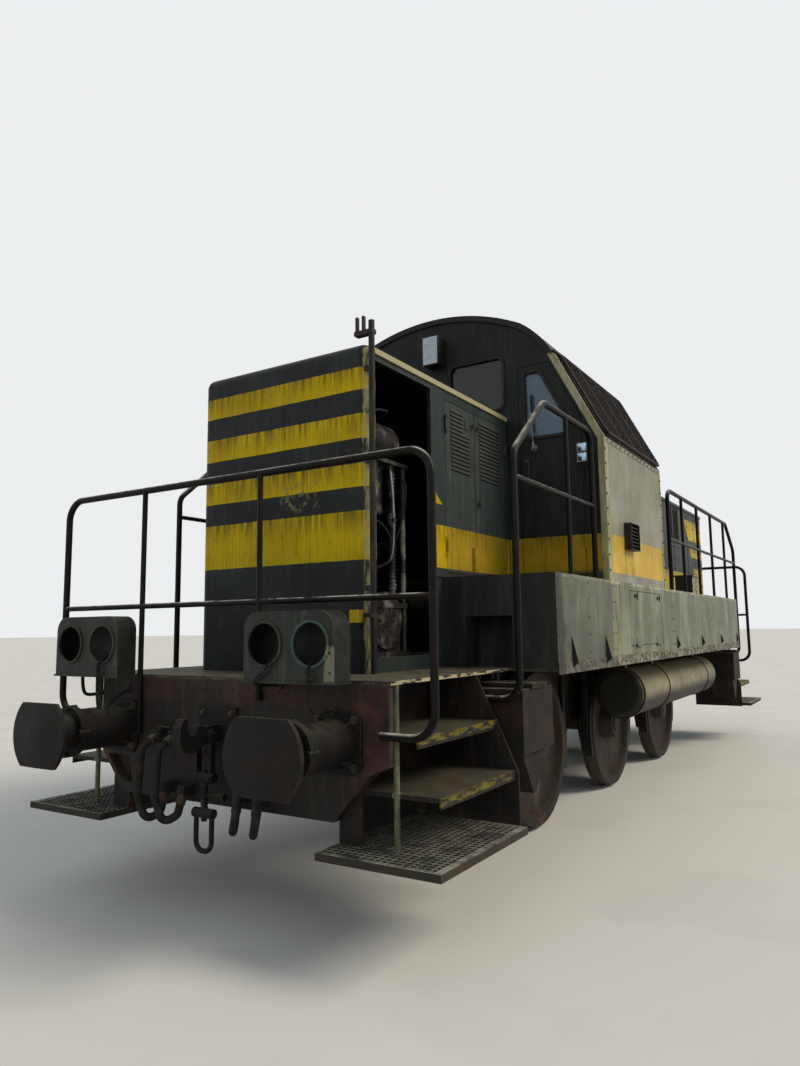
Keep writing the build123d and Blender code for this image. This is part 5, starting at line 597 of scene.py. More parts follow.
# columns: name, function that makes it, the values it takes
for name, make, *values in [
    ("striped_enamel_short", hood_enamel, SHORT_HOOD_BANDS, SHORT_BAND_CUT, 1, SHORT_HOOD_FRONT_X,
     SHORT_HOOD_HALF, SHORT_HOOD_TOP_Z, 1.0),
    ("striped_enamel_long", hood_enamel, LONG_HOOD_BANDS, LONG_BAND_CUT, -1, LONG_HOOD_END_X,
     LONG_HOOD_HALF, LONG_HOOD_TOP_Z, 4.0),
    ("door_enamel", door_enamel, 2.0),
    ("cab_side_enamel", cab_side_enamel, 3.0),
    ("cab_end_enamel", cab_end_enamel, 6.0),
    ("side_box_enamel", side_box_enamel, 5.0),
    ("lamp_box_enamel", lamp_box_enamel, 8.0),
    ("roof_enamel", plain_enamel, ROOF_DARK, "#1a1b1d", 0.4, 0.04, 0.4, 0.12, 9.0),
    ("beam_enamel", beam_enamel, 12.0),
    ("tank_enamel", tank_enamel, 14.0),
    ("desk_enamel", plain_enamel, "#3f473e", "#56604f", 0.2, 0.2, 0.2, 0.6, 15.0),
    ("vent_enamel", plain_enamel, "#171716", "#24221f", 0.4, 0.03, 0.6, 0.4, 16.0),
    ("mast_enamel", mast_enamel, 18.0),
    ("frame_steel", rusty_steel, "#171614", 0.32, 0.30, 0.75, 1.0),
    ("cast_steel", rusty_steel, "#0b0b0b", 0.12, 0.22, 0.60, 3.0, 0.010, 0.0015, "#6d6a58", 0.1),
    # The handrails' pale top colour is a painted highlight of the sun on them.
    ("rail_steel", rusty_steel, "#0a0a0a", 0.10, 0.95, 0.42, 5.0, 0.015, 0.0006, "#b9b7ab", 0.0, 0.12),
    ("grating_steel", rusty_steel, "#2c2b26", 0.30, 0.85, 0.65, 7.0, 0.012, 0.0010, "#94968a"),
    ("mesh_steel", rusty_steel, "#1c1a17", 0.30, 0.35, 0.65, 9.0),
    ("fastener_steel", rusty_steel, "#3a3730", 0.55, 0.40, 0.60, 11.0, 0.006, 0.0006, DUST, 0.3),
    ("weathered_alloy", rusty_steel, "#8b8e8a", 0.10, 0.30, 0.45, 13.0, 0.004, 0.0003, DUST, 0.7),
    ("step_steel", step_steel, 7.0),
    ("chequer_plate", chequer_plate),
    ("dusty_glass", dusty_glass),
    ("moulded_rubber", moulded_rubber),
    ("wheel_steel", wheel_steel),
    ("oily_machinery", oily_machinery),
    ("seat_vinyl", seat_vinyl),
    ("mirror_glass", mirror_glass, "#9db8d2", "#6f7f8c"),
    ("lamp_glass", mirror_glass, "#8f989e", "#6a6f70"),
]:
    FINISHES[name], tree, point = started(name)
    make(tree, point, *values)

# Finish of each material slot of the record; nodes in NODE_FINISH differ from their slot's
SLOT_FINISH = {
    "frame_paint": "frame_steel", "deck_plate": "chequer_plate", "beam_red": "beam_enamel",
    "cast_steel": "cast_steel", "rail_tube": "rail_steel", "charcoal_paint": "cab_end_enamel",
    "hood_paint": "striped_enamel_short", "door_paint": "door_enamel", "side_paint": "side_box_enamel",
    "cab_paint": "cab_side_enamel", "roof_paint": "roof_enamel", "glass": "dusty_glass",
    "guard_wire": "mesh_steel", "rubber": "moulded_rubber", "machinery": "oily_machinery",
    "wheel_steel": "wheel_steel", "tank_paint": "tank_enamel", "step_steel": "step_steel",
    "desk_paint": "desk_enamel", "seat_cover": "seat_vinyl",
}
NODE_FINISH = {
    "long_hood": "striped_enamel_long", "lamp_boxes": "lamp_box_enamel", "step_gratings": "grating_steel",
    "cab_fittings": "vent_enamel", "signal_mast": "mast_enamel",
}


def dress_cad_nodes():
    """Give every CAD node the finish of its slot."""
    slot_of = {part["node"]: part["material_slot"] for part in frame["record"]["subparts"]}
    for name, shape in frame["nodes"].items():
        finish = FINISHES[NODE_FINISH.get(name, SLOT_FINISH[slot_of[name]])]
        if not shape.material_slots:
            shape.data.materials.append(finish)
        for material_slot in shape.material_slots:
            material_slot.material = finish


dress_cad_nodes()

# columns: +1 or -1 along its axis, and the word for it in names
SIDES = ((1, "left"), (-1, "right"))
ENDS = ((1, "front"), (-1, "rear"))


def hang(name, bm, finish, body="locomotive"):
    """Make a finished mesh a piece of a body: round faces shade smoothly, and edges stay sharp."""
    bmesh.ops.recalc_face_normals(bm, faces=bm.faces)
    for face in bm.faces:
        face.smooth = True
    for edge in bm.edges:
        edge.smooth = edge.calc_face_angle(math.pi) < math.radians(35)
    mesh = bpy.data.meshes.new(name)
    bm.to_mesh(mesh)
    bm.free()
    mesh.materials.append(FINISHES[finish])
    made = bpy.data.objects.new(name, mesh)
    bpy.context.scene.collection.objects.link(made)
    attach(made, body)


def standing_on(place, direction):
    """Where a fastener sits: its own Z axis looks along the direction from the face it is on."""
    return Matrix.Translation(place) @ Vector(direction).to_track_quat("Z", "Y").to_matrix().to_4x4()


def on_wall(wall, across, up, out):
    """A place in a wall's own frame, and the direction out of the wall."""
    return wall @ Vector((across, up, out)), wall.to_3x3() @ Vector((0, 0, 1))


def boss(bm, place, low, high, radius, over, segments=14):
    """Boss on a place's Z axis, from low to high, which tapers from one radius to the one over it."""
    return bmesh.ops.create_cone(
        bm, cap_ends=True, segments=segments, radius1=radius, radius2=over, depth=high - low,
        matrix=place @ Matrix.Translation((0, 0, (low + high) / 2)))["verts"]


def rivet(bm, place, direction, radius=0.011):
    """Snap-head rivet: a low dome in two steps."""
    verts = boss(
        bm, standing_on(place, direction), radius * -0.05, radius * 0.45, radius, radius * 0.80, 8)
    faces = {face for vert in verts for face in vert.link_faces if len(face.verts) == 8}
    crown = max(faces, key=lambda face: face.calc_center_median().dot(Vector(direction)))
    bmesh.ops.inset_individual(bm, faces=[crown], thickness=radius * 0.38, depth=radius * 0.20)


def hex_bolt(bm, place, direction, radius=0.014):
    """Hexagon bolt head on a washer."""
    stand = standing_on(place, direction)
    boss(bm, stand, radius * -0.025, radius * 0.225, radius * 1.25, radius * 1.2, 12)
    boss(bm, stand, radius * 0.175, radius * 0.925, radius, radius * 0.92, 6)


def rod(bm, start, end, radius, segments=10):
    """Round bar between two points, its ends eased."""
    start, end = Vector(start), Vector(end)
    half = (end - start).length / 2
    verts = boss(bm, standing_on((start + end) / 2, end - start), -half, half, radius, radius, segments)
    if segments > 6:
        rims = {
            edge for vert in verts for edge in vert.link_edges
            if any(len(face.verts) == segments for face in edge.link_faces)}
        bmesh.ops.bevel(
            bm, geom=list(rims), offset=radius * 0.2, segments=1, profile=0.5, affect="EDGES", material=-1)


def bar(bm, low, high, place=None, ease=0.0):
    """Straight bar or block between two corners, in the frame or at a place, its edges eased."""
    low, high = Vector(low), Vector(high)
    stand = Matrix.Translation((low + high) / 2) @ Matrix.Diagonal((*(high - low), 1))
    made = bmesh.ops.create_cube(bm, size=1.0, matrix=(place or Matrix.Identity(4)) @ stand)
    if ease:
        edges = {edge for vert in made["verts"] for edge in vert.link_edges}
        bmesh.ops.bevel(
            bm, geom=list(edges), offset=ease, segments=2, profile=0.5, affect="EDGES", material=-1)


def wire_ring(bm, middle, radius, wire, axis, steps):
    """Ring of round wire about an axis: a small circle beside the ring's middle, spun all round."""
    start = Matrix.Translation(middle + Vector((radius, 0, 0))) @ Matrix.Rotation(math.pi / 2, 4, "X")
    verts = bmesh.ops.create_circle(bm, cap_ends=False, radius=wire, segments=8, matrix=start)["verts"]
    edges = list({edge for vert in verts for edge in vert.link_edges})
    bmesh.ops.spin(
        bm, geom=verts + edges, cent=middle, axis=axis, dvec=(0, 0, 0), angle=2 * math.pi, steps=steps,
        use_merge=True)


def spaced(start, end, pitch):
    """Even places from one end to the other, at about a pitch."""
    count = max(1, round(abs(end - start) / pitch))
    return [start + (end - start) * step / count for step in range(count + 1)]


def leaning(side):
    """Frame of a leaning window wall: X along the cab, Y up the slope from the eave, Z out of the wall."""
    up = Vector((0, -side * LEAN_SIN, LEAN_COS))
    out = Vector((0, side * LEAN_COS, LEAN_SIN))
    turn = Matrix((Vector((1, 0, 0)), up, out)).transposed().to_4x4()
    return Matrix.Translation((0, side * BODY_HALF, EAVE_Z)) @ turn


def end_wall_place(way):
    """Frame of a cab end wall: X across, Y up, Z out; the rear one is the front one turned half round."""
    turn = Matrix(((0, 0, 1), (1, 0, 0), (0, 1, 0))).to_4x4()
    front = Matrix.Translation((CAB_FRONT_X, 0, 0)) @ turn
    if way > 0:
        return front
    return Matrix.Translation((CAB_FRONT_X + CAB_REAR_X, 0, 0)) @ Matrix.Rotation(math.pi, 4, "Z") @ front


def pipes(runs, start_x=0.0):
    """Fixed pipes and cables, bent smoothly between their points and held at both ends.

    Each run is a name, a radius, a finish and points: along from start_x, across, height above the rail.
    """
    for name, radius, finish, points in runs:
        curve = bpy.data.curves.new(name, "CURVE")
        curve.dimensions = "3D"
        spline = curve.splines.new("NURBS")
        spline.points.add(len(points) - 1)
        for knot, (along, across, height) in zip(spline.points, points):
            knot.co = (start_x + along, across, RAIL + height, 1.0)
        spline.order_u = 3
        spline.use_endpoint_u = True
        spline.resolution_u = 8
        curve.bevel_depth = radius
        curve.bevel_resolution = 3
        curve.use_fill_caps = True
        holder = bpy.data.objects.new(name + "_line", curve)
        mesh = bpy.data.meshes.new_from_object(holder)
        bm = bmesh.new()
        bm.from_mesh(mesh)
        bpy.data.objects.remove(holder)
        bpy.data.curves.remove(curve)
        bpy.data.meshes.remove(mesh)
        bmesh.ops.remove_doubles(bm, verts=bm.verts, dist=0.00005)
        hang(name, bm, finish)


STRIP_MIDDLE = 0.0175
STRIP_OUT = 0.004
STRIP_PITCH = 0.12


def cab_rivets():
    """Rivets along the cab's eave strips, its upright end strips and the trim up the leaning walls."""
    for side, word in SIDES:
        bm = bmesh.new()
        wall = leaning(side)
        face_y = side * (BODY_HALF + STRIP_OUT)
        for x in spaced(CAB_REAR_X + 0.08, CAB_FRONT_X - 0.08, STRIP_PITCH):
            rivet(bm, (x, face_y, EAVE_Z - STRIP_MIDDLE), (0, side, 0))
        for x in (CAB_REAR_X + STRIP_MIDDLE, CAB_FRONT_X - STRIP_MIDDLE):
            for z in spaced(BOX_TOP_Z + 0.08, EAVE_Z - 0.10, STRIP_PITCH):
                rivet(bm, (x, face_y, z), (0, side, 0))
            for along in spaced(0.06, 0.80, STRIP_PITCH):
                rivet(bm, *on_wall(wall, x, along, STRIP_OUT), 0.009)
        hang(f"cab_rivets_{word}", bm, "fastener_steel")


ARCH_RISE = 0.536
ARCH_FALL = 0.226
ARCH_HALF = 0.90
RIM_OUT = 0.020


def roof_rivets():
    """Rivets along the roof's rain gutters and round the arched rims of its ends."""
    bm = bmesh.new()
    for side in (1, -1):
        for x in spaced(CAB_REAR_X + 0.06, CAB_FRONT_X - 0.06, 0.15):
            rivet(bm, (x, side * (LEAN_TOP_HALF + RIM_OUT), LEAN_TOP_Z + 0.007), (0, side, 0), 0.006)
    for x, way in ((CAB_FRONT_X + RIM_OUT, 1), (CAB_REAR_X - RIM_OUT, -1)):
        for y in spaced(-0.85, 0.85, 0.155):
            rise = ARCH_RISE - ARCH_FALL * (y / ARCH_HALF) ** 2
            rivet(bm, (x, y, LEAN_TOP_Z + rise - 0.030), (way, 0, 0), 0.008)
    hang("roof_rivets", bm, "fastener_steel")


BUFFER_Y = 0.875
BUFFER_Z = RAIL + 1.050
BUFFER_BOLT = 0.122
DRAW_BOLT = 0.115


def end_fasteners():
    """Bolts of the buffers' and the draw hook's bases, and the rivets that hold the beams to the deck."""
    # columns: place across of a base, how far out its face is, half the spacing of its bolts, their radius
    bases = [
        (BUFFER_Y, 0.020, BUFFER_BOLT, 0.019), (-BUFFER_Y, 0.020, BUFFER_BOLT, 0.019),
        (0.0, 0.018, DRAW_BOLT, 0.017)]
    for way, word in ENDS:
        bm = bmesh.new()
        for y, out, half, radius in bases:
            for across in (-half, half):
                for up in (-half, half):
                    hex_bolt(bm, (way * (BEAM_X + out), y + across, BUFFER_Z + up), (way, 0, 0), radius)
        for y in spaced(-0.93, 1.14, 0.115):
            rivet(bm, (way * BEAM_X, way * y, RAIL + 1.305), (way, 0, 0), 0.012)
        hang(f"end_fasteners_{word}", bm, "fastener_steel")


LAMP_MIDDLES = (0.695, -0.998)
LAMP_SPACING = 0.320
LAMP_HOLE_Z = RAIL + 1.574
LAMP_RING_OUT = 0.217
LAMP_RING_X = BEAM_X + LAMP_RING_OUT
LAMP_SCREW_CIRCLE = 0.119


def lamp_fasteners():
    """Screws round the lamp holes and along the lamp boxes' edges."""
    bm = bmesh.new()
    for way in (1, -1):
        for middle in LAMP_MIDDLES:
            for offset in (-LAMP_SPACING / 2, LAMP_SPACING / 2):
                for step in range(6):
                    turn = math.radians(60 * step + 30)
                    y = way * (middle + offset + LAMP_SCREW_CIRCLE * math.cos(turn))
                    z = LAMP_HOLE_Z + LAMP_SCREW_CIRCLE * math.sin(turn)
                    rivet(bm, (way * LAMP_RING_X, y, z), (way, 0, 0), 0.005)
            for across in (-0.285, 0.285):
                for z in (DECK_Z + 0.05, DECK_Z + 0.15):
                    rivet(bm, (way * (LAMP_RING_X - 0.010), way * (middle + across), z), (way, 0, 0), 0.008)
            for across in (-0.25, 0.0, 0.25):
                foot = (way * (LAMP_RING_X - 0.002), way * (middle + across), DECK_Z - 0.006)
                hex_bolt(bm, foot, (way, 0, 0), 0.0045)
    hang("lamp_screws", bm, "fastener_steel")


# Places along the locomotive of the upright rows of bolts
BOLT_ROWS_X = [3.470, 2.862, 2.293, 2.215, 0.330, 0.255, -0.640, -1.620, -2.780, -3.470]


def box_fasteners():
    """Flat-headed bolts in upright rows on the side boxes and skirts, and low along their foot strip."""
    for side, word in SIDES:
        bm = bmesh.new()
        for x in BOLT_ROWS_X:
            for z in spaced(RAIL + 1.470, BOX_TOP_Z - 0.045, 0.135):
                rivet(bm, (x, side * BODY_HALF, z), (0, side, 0), 0.0075)
        for x in spaced(-3.40, 3.40, 0.26):
            rivet(bm, (x, side * (BODY_HALF + 0.004), RAIL + 1.395), (0, side, 0), 0.0075)
        hang(f"side_sheet_bolts_{word}", bm, "fastener_steel")


# columns: start and end along the long hood, heights above the rail of a bolted cover
LONG_COVERS = [
    (-2.890, -2.560, 2.110, 2.750),
    (-2.540, -2.210, 2.110, 2.750),
    (-3.840, -3.400, 2.070, 3.270),
    (-4.300, -3.860, 2.070, 3.270),
]
COVER_EDGE = 0.025
GRILLE_SPANS = [(-2.540, -2.200), (-2.900, -2.560)]
GRILLE_Z = (RAIL + 2.804, RAIL + 3.300)
GRILLE_EDGE = 0.011
EYE_UP = 0.040


def hood_fasteners():
    """Bolts round the long hood's covers, rivets of the radiator grilles, and lifting eyes on both hoods."""
    for side, word in SIDES:
        bm = bmesh.new()
        for start, end, low, high in LONG_COVERS:
            spots = [
                (x, z) for z in (low + COVER_EDGE, high - COVER_EDGE)
                for x in spaced(start + COVER_EDGE, end - COVER_EDGE, 0.14)]
            spots += [
                (x, z) for x in (start + COVER_EDGE, end - COVER_EDGE)
                for z in spaced(low + 0.18, high - 0.18, 0.18)]
            for x, z in spots:
                hex_bolt(bm, (x, side * (LONG_HOOD_HALF + 0.004), RAIL + z), (0, side, 0), 0.0085)
        for start, end in GRILLE_SPANS:
            for x in (start + GRILLE_EDGE, (start + end) / 2, end - GRILLE_EDGE):
                for z in (GRILLE_Z[0] + GRILLE_EDGE, GRILLE_Z[1] - GRILLE_EDGE):
                    rivet(bm, (x, side * LONG_HOOD_HALF, z), (0, side, 0), 0.006)
        hang(f"hood_bolts_{word}", bm, "fastener_steel")
    bm = bmesh.new()
    # columns: place along, place across, top of the sheet it stands on
    for x, across, top in [
        (4.20, 0.50, SHORT_HOOD_TOP_Z), (2.60, 0.50, SHORT_HOOD_TOP_Z),
        (0.30, 0.74, LONG_HOOD_TOP_Z), (-4.10, 0.74, LONG_HOOD_TOP_Z),
    ]:
        for y in (across, -across):
            bar(bm, (x - 0.045, y - 0.030, top - 0.001), (x + 0.045, y + 0.030, top + 0.010), ease=0.003)
            wire_ring(bm, Vector((x, y, top + EYE_UP)), 0.034, 0.010, (0, 1, 0), 20)
    hang("lifting_eyes", bm, "cast_steel")


def grown(corners, amount):
    """Corners of a convex outline, given anticlockwise, with each side moved outwards."""
    moved = []
    for before, corner, after in zip(corners[-1:] + corners[:-1], corners, corners[1:] + corners[:1]):
        corner = Vector(corner)
        arriving = (corner - Vector(before)).normalized()
        leaving = (Vector(after) - corner).normalized()
        share = amount / (1 + arriving.dot(leaving))
        moved.append(corner + share * Vector((arriving.y + leaving.y, -arriving.x - leaving.x)))
    return moved


# columns: word, how far outside the opening's edge, width, depth from and to, finish
SEAL_RINGS = [
    ("rubber", 0.014, 0.028, -0.016, 0.009, "moulded_rubber"),
    ("bead", 0.002, 0.005, 0.004, 0.012, "fastener_steel"),
]


def window_seal(name, corners, radius, place, body="locomotive"):
    """Rubber profile round a window, with a thin bright bead: corners are the opening's, in the wall's plane.

    The place has its Z axis out of the wall, zero on its outer face.
    """
    for word, outside, width, deep, high, finish in SEAL_RINGS:
        bm = bmesh.new()
        verts = [bm.verts.new((*corner, deep)) for corner in grown(corners, outside)]
        bm.faces.new(verts)
        bmesh.ops.bevel(
            bm, geom=verts, offset=radius + outside, segments=6, profile=0.5, affect="VERTICES", material=-1)
        ring = bmesh.ops.inset_region(
            bm, faces=bm.faces[:], thickness=width, use_boundary=True, use_even_offset=True)
        pane = [face for face in bm.faces if face not in set(ring["faces"])]
        bmesh.ops.delete(bm, geom=pane, context="FACES")
        raised = bmesh.ops.extrude_face_region(bm, geom=bm.faces[:])
        lifted = [one for one in raised["geom"] if isinstance(one, bmesh.types.BMVert)]
        bmesh.ops.translate(bm, vec=(0, 0, high - deep), verts=lifted)
        bmesh.ops.transform(bm, matrix=place, verts=bm.verts)
        hang(f"{name}_{word}", bm, finish, body)


# Openings in the walls' own planes: across and up, anticlockwise from the low inner corner
HOOD_WINDOW = [(0.186, RAIL + 3.530), (0.721, RAIL + 3.530), (0.721, RAIL + 4.010), (0.186, RAIL + 4.010)]
FRONT_DOOR_WINDOW = [
    (0.904, RAIL + 3.235), (1.284, RAIL + 3.235), (1.284, RAIL + 3.3572), (1.049, RAIL + 3.820),
    (0.904, RAIL + 3.820)]
REAR_DOOR_WINDOW = [
    (1.064, RAIL + 3.235), (1.330, RAIL + 3.235), (1.330, RAIL + 3.2666), (1.176, RAIL + 3.570),
    (1.064, RAIL + 3.570)]
# columns: start and end along the cab of a side window
SIDE_WINDOWS = [(0.640, 1.430), (1.470, 2.260)]
SIDE_WINDOW_UP = (0.075, 0.800)


def window_seals():
    """Seals of all the cab's windows; those of the door windows swing with the doors."""
    # columns: which end, word, door window, how far its corners are rounded, the door's body
    ends = [
        (1, "front", FRONT_DOOR_WINDOW, 0.040, "front_cab_door"),
        (-1, "rear", REAR_DOOR_WINDOW, 0.010, "rear_cab_door"),
    ]
    for way, word, door_window, radius, door in ends:
        place = end_wall_place(way)
        fixed, far_hood = [
            [(-across, up) for across, up in reversed(window)] for window in (door_window, HOOD_WINDOW)]
        window_seal(f"seal_{word}_door", door_window, radius, place, door)
        window_seal(f"seal_{word}_fixed", fixed, radius, place)
        window_seal(f"seal_{word}_hood_a", HOOD_WINDOW, 0.070, place)
        window_seal(f"seal_{word}_hood_b", far_hood, 0.070, place)
    low, high = SIDE_WINDOW_UP
    for side, word in SIDES:
        for number, (start, end) in enumerate(SIDE_WINDOWS):
            corners = [(start, low), (end, low), (end, high), (start, high)]
            window_seal(f"seal_{word}_side_{number}", corners, 0.020, leaning(side))


WIPER_FOOT_Z = RAIL + 3.150


def wiper(name, across, reach, blade, place, body):
    """Window wiper: a motor cap under the window, a thin arm up it and a rubber blade in a steel clip."""
    up = WIPER_FOOT_Z
    foot = place @ Matrix.Translation((across, up, 0))
    bm = bmesh.new()
    for low, high, radius in ((0.0, 0.016, 0.030), (0.016, 0.034, 0.016)):
        boss(bm, foot, low, high, radius, radius * 0.85, 18)
    tip_across, tip_up = across - 0.012, up + reach
    rod(bm, place @ Vector((across, up, 0.030)), place @ Vector((tip_across, tip_up, 0.026)), 0.005, 8)
    bar(bm, (across - 0.010, up - 0.012, 0.022), (across + 0.010, up + 0.045, 0.036), place, 0.003)
    clip = [place @ Vector((tip_across, tip_up, out)) for out in (0.028, 0.010)]
    rod(bm, *clip, 0.006, 8)
    hang(f"{name}_arm", bm, "weathered_alloy", body)
    bm = bmesh.new()
    # columns: half-width, how far out from and to, how far the edges are eased
    for half, deep, high, ease in ((0.007, 0.008, 0.016, 0.002), (0.002, -0.012, 0.010, 0.0)):
        bar(
            bm, (tip_across - half, tip_up - blade / 2, deep), (tip_across + half, tip_up + blade / 2, high),
            place, ease)
    hang(f"{name}_blade", bm, "moulded_rubber", body)


def wipers():
    """A wiper on each door window, which swings with the door, and on the fixed window beside it."""
    # columns: which end, word, place across, reach of the arm, length of the blade
    for way, word, across, reach, blade in [
        (1, "front", 0.985, 0.300, 0.330),
        (-1, "rear", 1.110, 0.210, 0.200),
    ]:
        place = end_wall_place(way)
        wiper(f"wiper_{word}_door", across, reach, blade, place, f"{word}_cab_door")
        wiper(f"wiper_{word}_fixed", -across, reach, blade, place, "locomotive")


GUARD_SPAN = (0.613, 2.287)
GUARD_ALONG = (0.033, 0.837)
GUARD_OUT = 0.0365
GUARD_FOOT = 0.006
FINE_WIRE = 0.0013
FINE_PITCH = 0.024


def guard_netting():
    """Fine welded netting inside the window guards' frames, and the plates and bolts of their feet."""
    for side, word in SIDES:
        wall = leaning(side)
        bm = bmesh.new()
        for x in spaced(*GUARD_SPAN, FINE_PITCH)[1:-1]:
            bar(
                bm, (x - FINE_WIRE, GUARD_ALONG[0], GUARD_OUT - FINE_WIRE),
                (x + FINE_WIRE, GUARD_ALONG[1], GUARD_OUT + FINE_WIRE), wall)
        for along in spaced(*GUARD_ALONG, FINE_PITCH)[1:-1]:
            bar(
                bm, (GUARD_SPAN[0], along - FINE_WIRE, GUARD_OUT - 3 * FINE_WIRE),
                (GUARD_SPAN[1], along + FINE_WIRE, GUARD_OUT - FINE_WIRE), wall)
        hang(f"guard_netting_{word}", bm, "mesh_steel")
        bm = bmesh.new()
        for x in (GUARD_SPAN[0] + 0.100, GUARD_SPAN[1] - 0.100):
            for along in GUARD_ALONG:
                bar(bm, (x - 0.040, along - 0.016, 0.0), (x + 0.040, along + 0.016, GUARD_FOOT), wall, 0.002)
                for step in (-0.027, 0.027):
                    hex_bolt(bm, *on_wall(wall, x + step, along, GUARD_FOOT), 0.008)
        hang(f"guard_feet_{word}", bm, "fastener_steel")


GRATING_ROD_Z = RAIL + 0.516


def grating_rods():
    """Twisted cross rods of the step gratings, which make their square mesh, on all four corners."""
    bm = bmesh.new()
    for way in (1, -1):
        for side in (1, -1):
            for x in spaced(4.150, 5.100, 0.038):
                rod(
                    bm, (way * x, side * 0.862, GRATING_ROD_Z), (way * x, side * 1.547, GRATING_ROD_Z),
                    0.0042, 6)
    hang("grating_rods", bm, "grating_steel")


def lamp_conduits():
    """Lamp cables in their fixed runs: out of the holes, down the boxes and under the shelf to the beam."""
    pipes([
        ("lamp_wire_a", 0.0045, "moulded_rubber", [
            (0.157, 0.590, 1.519), (0.227, 0.606, 1.481), (0.229, 0.585, 1.429), (0.221, 0.540, 1.405),
            (0.219, 0.490, 1.372), (0.205, 0.480, 1.345), (-0.005, 0.480, 1.335)]),
        ("lamp_wire_b", 0.0045, "moulded_rubber", [
            (0.157, 0.565, 1.509), (0.227, 0.575, 1.473), (0.231, 0.550, 1.419), (0.222, 0.500, 1.410),
            (0.220, 0.470, 1.370), (0.205, 0.462, 1.350), (-0.005, 0.462, 1.345)]),
        ("lamp_conduit_a", 0.007, "moulded_rubber", [
            (0.157, 0.855, 1.499), (0.229, 0.855, 1.467), (0.229, 0.854, 1.420), (0.229, 0.853, 1.300),
            (0.207, 0.853, 1.225), (0.120, 0.853, 1.215), (-0.005, 0.853, 1.215)]),
        ("lamp_conduit_b", 0.012, "moulded_rubber", [
            (0.157, -0.838, 1.499), (0.231, -0.838, 1.467), (0.231, -0.838, 1.400), (0.229, -0.836, 1.200),
            (0.197, -0.834, 1.130), (0.100, -0.834, 1.245), (-0.005, -0.834, 1.270)]),
        ("lamp_conduit_c", 0.011, "moulded_rubber", [
            (0.150, -1.100, 1.372), (0.150, -1.100, 1.280), (0.110, -1.095, 1.230), (-0.005, -1.090, 1.250)]),
    ], BEAM_X)
    bm = bmesh.new()
    for y, z in [(0.480, 1.335), (0.853, 1.215), (-0.834, 1.270), (-1.090, 1.250)]:
        boss(bm, standing_on((BEAM_X, y, RAIL + z), (1, 0, 0)), -0.001, 0.021, 0.021, 0.018, 6)
    for y in (0.853, -0.838):
        bar(
            bm, (LAMP_RING_X - 0.001, y - 0.030, DECK_Z + 0.010),
            (LAMP_RING_X + 0.006, y + 0.030, DECK_Z + 0.028), ease=0.002)
    hang("cable_glands", bm, "fastener_steel")


HOSES_Y = (-0.480, -0.330, 0.330, 0.480)
HOSE_TOP_Z = RAIL + 1.010
FERRULE = 0.029


def hose_fittings():
    """Steel ferrules with clamp bands on the air hoses, and the handles of their cocks."""
    bm = bmesh.new()
    for way in (1, -1):
        turn = Matrix.Rotation(0 if way > 0 else math.pi, 4, "Z")
        for y in HOSES_Y:
            inward = -1 if y > 0 else 1
            start = Vector((BEAM_X + 0.060, y, HOSE_TOP_Z))
            along = Vector((0.110, 0, -0.060)).normalized()
            low = Vector((BEAM_X + 0.088, y + inward * 0.104, HOSE_TOP_Z - 0.385))
            top = Vector((BEAM_X + 0.070, y + inward * 0.110, HOSE_TOP_Z - 0.325))
            handle = Vector((BEAM_X + 0.035, y, HOSE_TOP_Z + 0.030))
            # columns: start, end, radius and number of sides of ferrules, clamp bands and the cock's stem
            for one, other, radius, sides in [
                (start + along * 0.012, start + along * 0.062, FERRULE, 14),
                (start + along * 0.024, start + along * 0.032, 0.032, 14),
                (start + along * 0.050, start + along * 0.058, 0.032, 14),
                (low, top, FERRULE, 14),
                (handle, handle + Vector((0, 0, 0.022)), 0.012, 10),
            ]:
                rod(bm, turn @ one, turn @ other, radius, sides)
            bar(
                bm, (BEAM_X + 0.026, y - 0.010, HOSE_TOP_Z + 0.048),
                (BEAM_X + 0.044, y + 0.095, HOSE_TOP_Z + 0.056), turn, 0.002)
    hang("hose_ferrules", bm, "fastener_steel")


FAN_X = -3.300
FAN_DROP = 0.045
FAN_BLADES = 8


def radiator_fan():
    """Fan under the roof ring: a dished hub and pitched blades, seen from above through the guard bars."""
    bm = bmesh.new()
    middle = Matrix.Translation((FAN_X, 0, LONG_HOOD_TOP_Z - FAN_DROP))
    for radius, over, high in ((0.130, 0.115, 0.020), (0.070, 0.050, 0.055)):
        boss(bm, middle, -0.040, high, radius, over, 28)
    for step in range(FAN_BLADES):
        blade = bmesh.ops.create_grid(bm, x_segments=6, y_segments=3, size=0.5)["verts"]
        for vert in blade:
            out = vert.co.x + 0.5
            twist = math.radians(38 - 20 * out)
            chord = vert.co.y * (0.13 + 0.07 * out)
            curl = 0.018 * (1 - (2 * vert.co.y) ** 2)
            vert.co = (0.10 + 0.39 * out, chord * math.cos(twist), chord * math.sin(twist) + curl)
        bmesh.ops.transform(
            bm, matrix=middle @ Matrix.Rotation(2 * math.pi * step / FAN_BLADES, 4, "Z"), verts=blade)
        faces = list({face for vert in blade for face in vert.link_faces})
        bmesh.ops.solidify(bm, geom=faces, thickness=0.004)
    hang("radiator_fan", bm, "cast_steel")


RADIATOR_ENDS = (-2.945, -2.165)
RADIATOR_FACES = (0.820, 0.905)
RADIATOR_MIDDLE = 0.862
RADIATOR_UP = (RAIL + 2.790, RAIL + 3.305)


